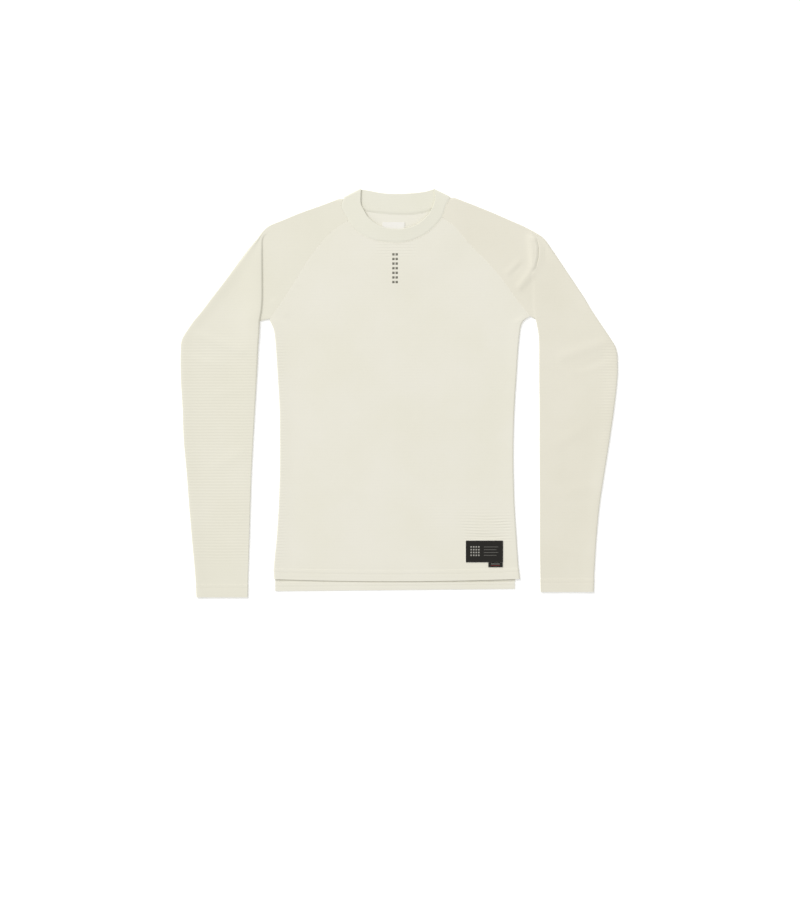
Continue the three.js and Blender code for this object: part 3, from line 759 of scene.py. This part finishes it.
def shoulder_point(side, column, y, set_back=0.0):
    """A point of one of a shoulder's lines, set back towards the middle of the body."""
    return Vector((side["sign"] * (read(side["shoulder"], column, y) - set_back), y, 0.0))


def raglan_edge(side, y, column):
    """A panel's edge at the slanting seam, set back by its half of the gap."""
    gap = SEAM_GAP / 2 * math.hypot(1, slope(side["shoulder"], column, y))
    return shoulder_point(side, column, y, gap)


def side_edge(side, y, drawn_in=0.0):
    return Vector((side["sign"] * (read(BODY_SIDES, side["name"], y) - drawn_in), y, 0.0))


def patch_ribs(x, y):
    """The cross ribs that stand out above the black patch, sagging a little in their middle."""
    shown = within(x, 96, 122, 176, 188) * within(y, -246, -241, -212, -190)
    sag = 1.6 * math.sin(math.pi * smooth(x, 100, 186))
    fade = 0.6 + 0.4 * math.sin(0.09 * x + 0.21 * y)
    return RIB_HEIGHT * shown * fade * math.sin(2 * math.pi * (y + sag) / RIB_MILLIMETRES)


def hem_lift(x, y):
    """The front hem lies close to the back in its middle, and stands off a little at the right."""
    near = smooth(-y, 278, 305)
    return near * (0.35 * smooth(x, 90, 150) - 0.5 * puff(x + 20, 130))


def front_height(x, y, left, right, part):
    """Middle of the front. part is 0 at the armhole, and 1 where a side seam brings it down."""
    away = max(min(x - left, right - x), 0.0)
    height = level(x, y) + part * SIDE_PUFF * puff(away, PUFF_REACH)
    if 90 < x < 195 and -250 < y < -185:
        height += patch_ribs(x, y)
    height += hem_lift(x, y)
    drop = 1 - math.sqrt(1 - max(1 - away / EDGE_RADIUS, 0.0) ** 2)
    return mix(height, SIDE_END, part * drop)


def front_rows():
    """All sections of the front from the neck to the hem."""
    neck = curve_through(NECK_SEAM_FRONT)
    grid = []

    def section(left, right, part, bend):
        inner = EDGE_COLUMNS[-1]
        middle = spread(left.x + inner, right.x - inner, MIDDLE_COLUMNS)[1:-1]
        xs = [left.x + d for d in EDGE_COLUMNS] + middle + [right.x - d for d in EDGE_COLUMNS[::-1]]
        made = []
        for x in xs:
            share = (x - left.x) / (right.x - left.x)
            y = mix(left.y, right.y, share) + bend(share)
            made.append(Vector((x, y, front_height(x, y, left.x, right.x, part))))
        grid.append(made)

    for t in [0, 0.0025, 0.005, 0.008, 0.011, 0.015, 0.021] + spread(0.03, 1, 60):
        edges = [raglan_edge(side, mix(side["raglan"], side["armpit"], t), "seam")
                 for side in SIDES]
        fade = 1 - smooth(t, 0, 1)
        section(*edges, 0.0, lambda share: fade * neck_dip(neck, share))
    for p in grid[0]:
        p.y -= SEAM_GAP / 2
    sink_seam(grid, 8)
    side_length = LEFT["armpit"] - FRONT_HEM["left"]
    below = [1.0, 2.0, 3.0, 4.0, 5.5, 7.0, 9.0, 11.5, 14.0] + spread(17, 306, 92) + spread(
        306, 376, 84)[1:] + spread(376, side_length - HEM_HEIGHT - 2, 14)[1:]
    hem = side_length - HEM_HEIGHT
    below += [hem - 1, hem - 0.4, hem + 0.4]
    below += spread(hem + 1.4, side_length - 0.8, 16) + [side_length]
    for distance in below:
        share_down = distance / side_length
        edges = [side_edge(side, mix(side["armpit"], FRONT_HEM[side["name"]], share_down))
                 for side in SIDES]
        part = min(distance / 8, 1.0)
        sag = FRONT_HEM_SAG * min(share_down * 1.05, 1.0) ** 3
        section(*edges, part, lambda share: -sag * (1 - (2 * share - 1) ** 2))
    return grid


front_grid = front_rows()
HEM_STITCHES = (11.8, 17.2)
hem_rows = sum(1 for row in front_grid if row[0].y <= FRONT_HEM["left"] + HEM_HEIGHT + 0.2)
armhole_rows = sum(1 for row in front_grid if row[0].y > LEFT["armpit"])
wall = cloth_wall(front_grid, pressed_half(front_grid, armhole_rows, HEM_STITCHES),
                  lambda i, j: HEM_EXTRA if i >= len(front_grid) - hem_rows else 0.0)
body_knit = brushed_knit("body_knit", "#eae7da", "#e8e5d6")
front_cloth = cloth_object("front_cloth", wall, body_knit, "front_panel")

# Back: one sheet of the same knit, which the top lies on. It is longer than the front, so its
# turned-up hem shows below it from the inside. Shallow hollows let it off the table here and there.
BACK_HEM = {"left": Vector((-204.6, -326.2, 0)), "right": Vector((190.6, -322.4, 0))}
VENT_TOP = -250.0
VENT_DRAW = {"left": 0.4, "right": 6.6}
BACK_NECK_TOP = 309.0
BACK_COLUMNS = 90
NECK_SEAM_BACK = [(-78, 309), (-57.6, 301), (-30, 296.6), (-3.6, 294.9), (26, 295.3),
                  (45.4, 299), (67.3, 309)]


def back_rows():
    """All sections of the back from the neck to the hem."""
    neck = curve_through(NECK_SEAM_BACK)
    grid = []

    def section(left, right, bend=lambda share: 0.0):
        width = right.x - left.x
        near = [d / width for d in SEAM_COLUMNS]
        shares = near[:-1] + spread(near[-1], 1 - near[-1], BACK_COLUMNS) + [
            1 - share for share in near[-2::-1]]
        made = []
        for share in shares:
            x, y = mix(left.x, right.x, share), mix(left.y, right.y, share) + bend(share)
            made.append(Vector((x, y, under_level(x, y))))
        grid.append(made)

    for t in spread(0, 1, 60):
        edges = [raglan_edge(side, mix(BACK_NECK_TOP, side["armpit"], t), "back") for side in SIDES]
        fade = 1 - smooth(t, 0, 0.6)
        section(*edges, lambda share: fade * neck_dip(neck, share))
    for p in grid[0]:
        p.y -= SEAM_GAP / 2
    for t in spread(0, 1, 110)[1:]:
        edges = []
        for side in SIDES:
            y = mix(side["armpit"], FRONT_HEM["left"], t)
            draw = smooth(-y, -VENT_TOP, -FRONT_HEM["left"]) * VENT_DRAW[side["name"]]
            edges.append(side_edge(side, y, draw))
        section(*edges)
    shelf = FRONT_HEM["left"] - FRONT_HEM_SAG - 1.5
    ends = [BACK_HEM["left"], BACK_HEM["right"]]
    for y in (shelf, shelf - 0.6):
        section(*[Vector((end.x, y, 0)) for end in ends])
    for t in spread(0, 1, 12)[1:]:
        section(*[Vector((end.x, mix(shelf - 0.6, end.y, t), 0)) for end in ends])
    return grid


back_grid = back_rows()
INSIDE_PALE_AND_PAINTED_LIGHT = 0.22  # the inner face is brushed up and paler where the neck shows it, and it is also painted lighter there: painted light that lifts the shade the collar casts
PALE_AND_PAINTED_LIGHT_MIDDLE = (-4, 285)
PALE_AND_PAINTED_LIGHT_REACH = (45, 75)
BACK_STITCHES = (7.0, 12.4)
armhole_rows = sum(1 for row in back_grid if row[0].y > LEFT["armpit"])
wall = cloth_wall(back_grid, pressed_half(back_grid, armhole_rows, BACK_STITCHES),
                  lambda i, j: HEM_EXTRA if i >= len(back_grid) - 13 else 0.0)
# Mask of the paler tone round the neck, on the inner face only: partly painted light that lifts the
# collar's shade.
pale = wall.verts.layers.float.new("pale")
for vert in wall.verts:
    x, y, z = vert.co * 1000 - SHIFT
    away = math.hypot(x - PALE_AND_PAINTED_LIGHT_MIDDLE[0], y - PALE_AND_PAINTED_LIGHT_MIDDLE[1])
    vert[pale] = INSIDE_PALE_AND_PAINTED_LIGHT * (1 - smooth(away, *PALE_AND_PAINTED_LIGHT_REACH)) if z > BACK_LEVEL else 0
back_cloth = cloth_object("back_cloth", wall, body_knit, "back_panel")

# Collar: a low stand collar, one band of smooth double knit folded over at its rim and sewn to the
# neck all round. The front half stands up a little, and the back half lies on the table.
COLLAR_WALL = 2.0
COLLAR_FRONT_LEVEL = 3.3
COLLAR_RIM_FOLD = 3.6
COLLAR_RIM_FRONT = 4.7
COLLAR_LANES = [0, 0.012, 0.03, 0.06, *[0.1 + 0.05 * k for k in range(17)],
                0.925, 0.945, 0.96, 0.972, 0.982, 0.99, 0.996, 1.0]
RIM_START = 0.96
SEAM_PRESSED = 0.62
RIM_FRONT = [(-63, 336.3), (-62.6, 311), (-56.8, 301), (-52.6, 292.4), (-32, 276.4),
             (-3.6, 270.9), (26, 277), (46, 292.4), (52, 301), (57, 312.7), (59.2, 326),
             (56, 336.9)]
RIM_BACK = [(56, 336.9), (46, 333.6), (16, 330.0), (-23.4, 330.0), (-53, 335), (-63, 336.3)]


def band_half(lane):
    """Half of the band's wall: pressed thin at its seam, and rounded at the folded rim."""
    turn = max(lane - RIM_START, 0.0) / (1 - RIM_START)
    pressed = mix(SEAM_PRESSED, 1.0, smooth(lane, 0.0, 0.11))
    return COLLAR_WALL / 2 * pressed * max(math.sqrt(1 - turn * turn), 0.22)


def collar_ring():
    """Sections of the band from its seam to its rim, all the way round."""
    def sleeve_seam(side, column, low):
        return [shoulder_point(side, column, y)
                for y in spread(side["top"], low, 14)]

    def flat(points):
        return [Vector((p.x, p.y, 0.0)) for p in points]

    front_seam = (sleeve_seam(LEFT, "seam", LEFT["raglan"])
                  + flat(front_grid[0][10:-10:2])
                  + sleeve_seam(RIGHT, "seam", RIGHT["raglan"])[::-1])
    back_seam = (sleeve_seam(RIGHT, "back", BACK_NECK_TOP)
                 + flat(back_grid[0][1:-1])[::-1]
                 + sleeve_seam(LEFT, "back", BACK_NECK_TOP)[::-1])
    rim_front, rim_back = curve_through(RIM_FRONT), curve_through(RIM_BACK)
    front_shares, back_shares = shares_of(rim_front), shares_of(rim_back)

    def section(bottom, top):
        start = bottom + (top - bottom).normalized() * (SEAM_GAP / 2)
        return [start.lerp(top, lane) for lane in COLLAR_LANES]

    grid = []
    for seam_point, share in zip(front_seam, shares_of(front_seam)):
        top = at_share(rim_front, front_shares, min(max(share, 0.012), 0.988))
        rise = (COLLAR_RIM_FRONT - COLLAR_RIM_FOLD) * math.sin(math.pi * share)
        seam_point.z, top.z = COLLAR_FRONT_LEVEL, COLLAR_RIM_FOLD + rise
        grid.append(section(seam_point, top))
    back_rows_of_ring = []
    for seam_point, share in zip(back_seam, shares_of(back_seam)):
        top = at_share(rim_back, back_shares, min(max(share, 0.015), 0.985))
        seam_point.z = top.z = COLLAR_WALL / 2
        row = section(seam_point, top)
        for lane, p in zip(COLLAR_LANES, row):
            if lane < 0.5:
                p.z = band_half(lane)
        back_rows_of_ring.append(row)

    def turned(row, other, outward):
        """The band's fold between a front section and the back one under it."""
        made = []
        for share in (-0.44, -0.35, -0.24, -0.12, 0, 0.12, 0.24, 0.35, 0.44):
            angle = share * math.pi
            fold = []
            for p, q in zip(row, other):
                half = (p.z - q.z) / 2
                point = (p + q) / 2 + outward * half * math.cos(angle)
                point.z = (p.z + q.z) / 2 - half * math.sin(angle)
                fold.append(point)
            made.append(fold)
        return made

    right_fold = turned(grid[-1], back_rows_of_ring[0], Vector((0.5, 1.15, 0)))
    left_fold = turned(grid[0], back_rows_of_ring[-1], Vector((-0.75, 1.65, 0)))[::-1]
    return grid + right_fold + back_rows_of_ring + left_fold


collar_grid = collar_ring()
wall = cloth_wall(collar_grid, lambda i, j: band_half(COLLAR_LANES[j]), ring=True)
collar_knit = brushed_knit("collar_double_knit", "#e9e7d9", "#e7e5d5")
collar_cloth = cloth_object("collar_cloth", wall, collar_knit, "collar")

# Labels: a white satin label inside the back neck, a black woven label on the front above the hem,
# and the end of a small black loop label below it. Each is heat-cut tape, up to 1 mm thick.
LABEL_WALL = 1.0
SATIN_WALL = 0.55
NECK_LABEL = {"left": -28.0, "right": 9.0, "top": 282.5, "bottom": 262.0}
HEM_PATCH = {"left": 110.0, "right": 171.0, "top": -243.0, "bottom": -278.5}
PATCH_TAB = {"left": 147.0, "right": 170.5, "top": -278.8, "bottom": -286.5}
LABEL_STEPS = 26


def front_top(x, y):
    """Upper face of the front at a place."""
    left, right = [read(BODY_SIDES, name, y) for name in ("left", "right")]
    return front_height(x, y, -left, right, 1) + CLOTH / 2


def label_wall(size, top_of, wall):
    ys = spread(size["top"], size["bottom"], LABEL_STEPS)
    xs = spread(size["left"], size["right"], LABEL_STEPS)
    grid = [[Vector((x, y, top_of(x, y) + LAYER_GAP + wall / 2)) for x in xs] for y in ys]
    return cloth_wall(grid, lambda i, j: wall / 2)


def woven(tree, place):
    """Height and shade of a plain weave: threads both ways, on a faintly cloudy ground."""
    threads = [add_node(tree, "ShaderNodeTexWave", {"Vector": place, "Scale": 260.0},
                        bands_direction=way).outputs["Fac"] for way in "XY"]
    weave = add_node(tree, "ShaderNodeMath", dict(enumerate(threads)), operation="MAXIMUM")
    cloudy = add_node(tree, "ShaderNodeTexNoise", {"Vector": place, "Scale": 60.0, "Detail": 2.0})
    return weave.outputs[0], cloudy.outputs[0]


def thin_finish(name, colour, tint, pattern, strength, depth, look):
    """A thin textile layer. Its pattern raises it a little and shades it between two colours."""
    made, tree, output = new_material(name)
    height, shade = pattern(tree, add_node(tree, "ShaderNodeTexCoord").outputs["Object"])
    bump = add_node(tree, "ShaderNodeBump", {
        "Strength": strength, "Distance": depth, "Height": height})
    tone = add_node(tree, "ShaderNodeMix", {
        "Factor": shade, "A": linear(colour), "B": linear(tint)}, data_type="RGBA")
    layer = add_node(tree, "ShaderNodeBsdfPrincipled", {
        "Base Color": tone.outputs["Result"], "Normal": bump.outputs[0], **look})
    tree.links.new(layer.outputs[0], output.inputs[0])
    return made


# Woven polyester tape: an even fine weave, satin on the white one and matt on the black one.
white_satin, black_tape = [
    thin_finish(name, colour, tint, woven, 0.5, 0.00012,
                {"Roughness": 0.7, "Specular IOR Level": 0.25, "Sheen Weight": sheen})
    for name, colour, tint, sheen in (("white_satin_tape", "#f1efe9", "#efece4", 0.1),
                                      ("black_woven_tape", "#211f1b", "#1c1a17", 0.03))]
neck_label, hem_patch, patch_tab = [
    cloth_object(f"{node}_tape", label_wall(size, under, wall), tape, node)
    for node, size, under, wall, tape, slot in (
        ("neck_label", NECK_LABEL, lambda x, y: CLOTH, SATIN_WALL, white_satin, "white_label"),
        ("hem_patch", HEM_PATCH, front_top, LABEL_WALL, black_tape, "black_label"),
        ("patch_tab", PATCH_TAB, front_top, LABEL_WALL, black_tape, "black_label"))]

# Stitching: two needle rows of off-white thread along each hem, flat ladder stitches across the
# slanting seams, and rows round the neck. Each stitch is one short thread, half sunk in the knit.
THREAD = 0.15
STITCH_LENGTH = 2.7
STITCH_PITCH = 3.3
LADDER_PITCH = 2.3
LADDER_REACH = 1.5
LADDER_SLANT = 0.45
LADDER_THREAD = 0.19
COVER_THREAD = 0.26  # the thread that lies in the seam itself
COVER_PITCH = 1.6
NECK_COVER_THREAD = 0.32
NECK_COVER_OUT = 0.9  # how far outside the collar's edge its covering thread lies
BACK_NECK_LANES = (0.2, 0.27)  # rows inside the back neck, as shares of the band's width
TACK_THREAD = 0.62  # a bar of many stitches at each end of a raglan seam
TACK_REACH = Vector((1.3, 0.5, 0))
TACK_LENGTH = 4.6
TACKS_AT_FOLD = ((0.7, 1.0), (0.9, 2.0))  # how far below the shoulder's end, and their height
UNDERSIDE = 0.2  # middle of a thread on the face that the top lies on, in its pressed groove
ON_TOP = CLOTH / 2 - 0.1


def twisted(tree, place):
    """Height and shade of spun thread: fine slanting bands."""
    twist = add_node(tree, "ShaderNodeTexWave", {
        "Vector": place, "Scale": 420.0, "Distortion": 1.0}, bands_direction="DIAGONAL")
    return twist.outputs["Fac"], twist.outputs["Fac"]


def add_thread(build, a, b, radius=THREAD):
    """One short thread from a to b."""
    along = b - a
    size = Matrix.Diagonal((radius * 0.001, radius * 0.001, along.length * 0.0005, 1.0))
    turn = along.to_track_quat("Z", "Y").to_matrix().to_4x4()
    place = Matrix.Translation(((a + b) / 2 + SHIFT) * 0.001)
    bmesh.ops.create_uvsphere(build, u_segments=6, v_segments=4, radius=1.0,
                              matrix=place @ turn @ size)


def add_row(build, path, length=STITCH_LENGTH, pitch=STITCH_PITCH, radius=THREAD):
    """A row of threads along a path."""
    shares = shares_of(path)
    total = length_of(path)
    count = int(total // pitch)
    reach = length / 2 / total
    for k in range(count):
        middle = (k + 0.5) / count
        add_thread(build, at_share(path, shares, max(middle - reach, 0.0)),
                   at_share(path, shares, min(middle + reach, 1.0)), radius)


def small_object(name, build, material):
    """Many small things, such as stitches or marks, as one object."""
    for face in build.faces:
        face.smooth = True
    made = placed(name, build, material)
    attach(made, "root")


# Spun polyester sewing thread: twisted, with a soft shine.
pale_thread, dark_thread, edge_thread = [
    thin_finish(name, colour, tint, twisted, 0.4, 0.00006,
                {"Roughness": 0.6, "Specular IOR Level": 0.3, "Sheen Weight": 0.2})
    for name, colour, tint in (("off_white_spun_thread", "#eeeadb", "#f7f4e8"),
                               ("grey_spun_thread", "#3b3934", "#4b4842"),
                               ("white_edge_thread", "#f8f5ea", "#fffdf6"))]

hems = bmesh.new()
for height in HEM_STITCHES:
    row = []
    for x in spread(front_grid[-1][0].x + 4, front_grid[-1][-1].x - 4, 160):
        share = (x - front_grid[-1][0].x) / (front_grid[-1][-1].x - front_grid[-1][0].x)
        edge = mix(front_grid[-1][0].y, front_grid[-1][-1].y, share)
        y = edge - FRONT_HEM_SAG * (1 - (2 * share - 1) ** 2) + height
        row.append(Vector((x, y, front_height(x, y, front_grid[-1][0].x, front_grid[-1][-1].x, 1)
                           + ON_TOP + HEM_EXTRA)))
    add_row(hems, row)
back_ends = BACK_HEM["left"], BACK_HEM["right"]
for height in BACK_STITCHES:
    for z in (UNDERSIDE, BACK_LEVEL + ON_TOP + HEM_EXTRA):
        add_row(hems, [end + Vector((inset, height, z)) for end, inset in zip(back_ends, (4, -4))])
small_object("hem_stitches", hems, pale_thread)

cuffs = bmesh.new()
for side in SIDES:
    for height in CUFF_STITCHES:
        section = sleeve_section(side, side["cuff"] + height, True)
        upper = section[SEAM_STEPS + CREASE_STEPS + 1:FRONT_STEPS - TURN_STEPS // 2]
        add_row(cuffs, [p + Vector((0, 0, ON_TOP + HEM_EXTRA)) for p in upper])
        lower = section[FRONT_STEPS + TURN_STEPS // 2 + 1:-3]
        add_row(cuffs, [Vector((p.x, p.y, UNDERSIDE)) for p in lower])
small_object("cuff_stitches", cuffs, pale_thread)

ladders = bmesh.new()
for side in SIDES:
    for column, start in (("seam", side["raglan"] - 1.5), ("back", BACK_NECK_TOP - 1.5)):
        seam = [shoulder_point(side, column, y) for y in spread(start, side["armpit"] + 1, 90)]
        shares = shares_of(seam)
        steps = int(length_of(seam) / LADDER_PITCH)
        for k in range(steps):
            middle = at_share(seam, shares, (k + 0.5) / steps)
            ahead = at_share(seam, shares, min((k + 1.2) / steps, 1.0)) - middle
            across = Vector((-ahead.y, ahead.x, 0)).normalized() * LADDER_REACH
            slant = ahead.normalized() * LADDER_SLANT
            ends = [middle + across + slant, middle - across - slant]
            for p in ends:
                p.z = level(p.x, p.y) + ON_TOP if column == "seam" else UNDERSIDE
            add_thread(ladders, *ends, LADDER_THREAD)
        for p in seam:
            p.z = level(p.x, p.y) + ON_TOP - 0.08 if column == "seam" else UNDERSIDE + 0.1
        add_row(ladders, seam, COVER_PITCH, COVER_PITCH, COVER_THREAD)
small_object("seam_stitches", ladders, pale_thread)

neck_rows = bmesh.new()
front_ring = [row for row in collar_grid if row[0].z > COLLAR_FRONT_LEVEL - 0.01]
outward = [(row[0] - row[3]).normalized() for row in front_ring]
path = []
for row, away in zip(front_ring, outward):
    p = row[0] + away * NECK_COVER_OUT
    p.z = level(p.x, p.y) + ON_TOP + 0.1
    path.append(p)
add_row(neck_rows, path, STITCH_LENGTH, STITCH_LENGTH, NECK_COVER_THREAD)
back_ring = [row for row in collar_grid if abs(row[8].z - COLLAR_WALL / 2) < 0.001]
for lane in BACK_NECK_LANES:
    path = [row[0].lerp(row[-1], lane) for row in back_ring]
    for p in path:
        p.z = COLLAR_WALL - 0.02
    add_row(neck_rows, path)
for side in SIDES:
    seam_end = shoulder_point(side, "seam", side["raglan"])
    seam_end.z = level(seam_end.x, seam_end.y) + 0.1
    add_thread(neck_rows, seam_end - TACK_REACH, seam_end + TACK_REACH, TACK_THREAD)
    for y_below, z in TACKS_AT_FOLD:
        corner = shoulder_point(side, "outer", side["top"] - y_below)
        corner.z = z
        inside = corner - Vector((side["sign"] * TACK_LENGTH, -0.25 * TACK_LENGTH, 0))
        add_thread(neck_rows, corner, inside, TACK_THREAD)
small_object("neck_stitches", neck_rows, pale_thread)


def around(size, inset, height_of_top):
    """The corners of a label, set in from its edges, on its face."""
    left, right = size["left"] + inset, size["right"] - inset
    top, bottom = size["top"] - inset, size["bottom"] + inset
    corners = [(left, top), (right, top), (right, bottom), (left, bottom), (left, top)]
    path = []
    for (ax, ay), (bx, by) in zip(corners, corners[1:]):
        path += [Vector((mix(ax, bx, t), mix(ay, by, t), 0)) for t in spread(0, 1, 12)[:-1]]
    path.append(path[0].copy())
    for p in path:
        p.z = height_of_top(p.x, p.y)
    return path


def patch_face(x, y):
    """Upper face of the black labels."""
    return front_top(x, y) + LAYER_GAP + LABEL_WALL


satin_face = CLOTH + LAYER_GAP + SATIN_WALL
satin_rows = [[Vector((x, NECK_LABEL["top"] - 1, satin_face)),
               Vector((x, NECK_LABEL["bottom"] + 1, satin_face))]
              for x in (NECK_LABEL["left"] + 1.4, NECK_LABEL["right"] - 1.4)]
edge_rows = [around(HEM_PATCH, -0.6, lambda x, y: front_top(x, y) + 0.25)]
inner_rows = [around(HEM_PATCH, 1.6, patch_face)]
for name, rows, (length, pitch, radius), thread, slot in (
        ("patch_edge_stitches", edge_rows, (1.7, 1.6, 0.55), edge_thread, "white_label"),
        ("patch_stitches", inner_rows, (2.0, 2.5, 0.14), dark_thread, "black_label"),
        ("label_stitches", satin_rows, (1.8, 2.3, 0.14), pale_thread, "white_label")):
    label_rows = bmesh.new()
    for row in rows:
        add_row(label_rows, row, length, pitch, radius)
    small_object(name, label_rows, thread)

# Plain marks: a small block of squares in flexible dark ink on the chest, and woven pale squares
# and lines on the black labels. They stand a tenth of a millimetre above what carries them.
MARK_WALL = 0.12


def add_mark(build, left, right, top, bottom, height_of_top):
    """One thin plate that follows the surface under it."""
    steps = max(2, round((right - left) / 2))
    grid = [[Vector((x, y, height_of_top(x, y) + MARK_WALL / 2))
             for x in spread(left, right, steps)] for y in spread(top, bottom, 2)]
    plate = cloth_wall(grid, lambda i, j: MARK_WALL / 2)
    held = bpy.data.meshes.new("mark")
    plate.to_mesh(held)
    plate.free()
    build.from_mesh(held)
    bpy.data.meshes.remove(held)


def grainy(scale):
    """A pattern for an even thin layer: a slight mottle."""
    def pattern(tree, place):
        grain = add_node(tree, "ShaderNodeTexNoise", {
            "Vector": place, "Scale": scale, "Detail": 2.0})
        return grain.outputs[0], grain.outputs[0]
    return pattern


def add_block(build, block, height_of_top):
    """Small squares in rows and columns."""
    size = block["size"]
    for row in range(block["rows"]):
        for column in range(block["columns"]):
            left = block["left"] + column * block["pitch_x"]
            top = block["top"] - row * block["pitch_y"]
            add_mark(build, left, left + size, top, top - size, height_of_top)


# Ink with a soft sheen, and woven yarn, which is duller.
ink, pale_yarn, grey_yarn, red_yarn = [
    thin_finish(name, colour, tint, grainy(scale), 0.3, 0.00008,
                {"Roughness": roughness, "Specular IOR Level": 0.3})
    for name, colour, tint, roughness, scale in (
        ("flexible_dark_ink", "#77756a", "#817e72", 0.6, 900.0),
        ("pale_woven_yarn", "#a9a79f", "#999790", 0.8, 1400.0),
        ("grey_woven_yarn", "#7d7b75", "#6c6a65", 0.8, 1400.0),
        ("red_woven_yarn", "#8c2f2c", "#7a2927", 0.8, 1400.0))]
CHEST_BLOCK = {"left": -11.5, "top": 231.0, "columns": 2, "rows": 7, "size": 3.8, "pitch_x": 5.4,
               "pitch_y": 7.6}
# The patch has a block of squares at its left and short lines beside it. The tab has two bars.
PATCH_BLOCK = {"left": 117.5, "top": -252.0, "columns": 4, "rows": 4, "size": 2.5, "pitch_x": 4.2,
               "pitch_y": 4.6}
PATCH_LINES = ((163.5, -252.9), (160.5, -257.5), (163.5, -262.1), (160.5, -266.7))
chest, marks, lines, tab_bar = [bmesh.new() for k in range(4)]
add_block(chest, CHEST_BLOCK, front_top)
add_block(marks, PATCH_BLOCK, patch_face)
add_mark(marks, 151.5, 166.0, -281.0, -281.65, patch_face)
add_mark(tab_bar, 151.5, 166.0, -283.6, -284.25, patch_face)
for right, top in PATCH_LINES:
    add_mark(lines, 139.5, right, top, top - 0.7, patch_face)
for name, build, colour in (("chest_marks", chest, ink), ("patch_marks", marks, pale_yarn),
                            ("patch_lines", lines, grey_yarn), ("tab_mark", tab_bar, red_yarn)):
    small_object(name, build, colour)
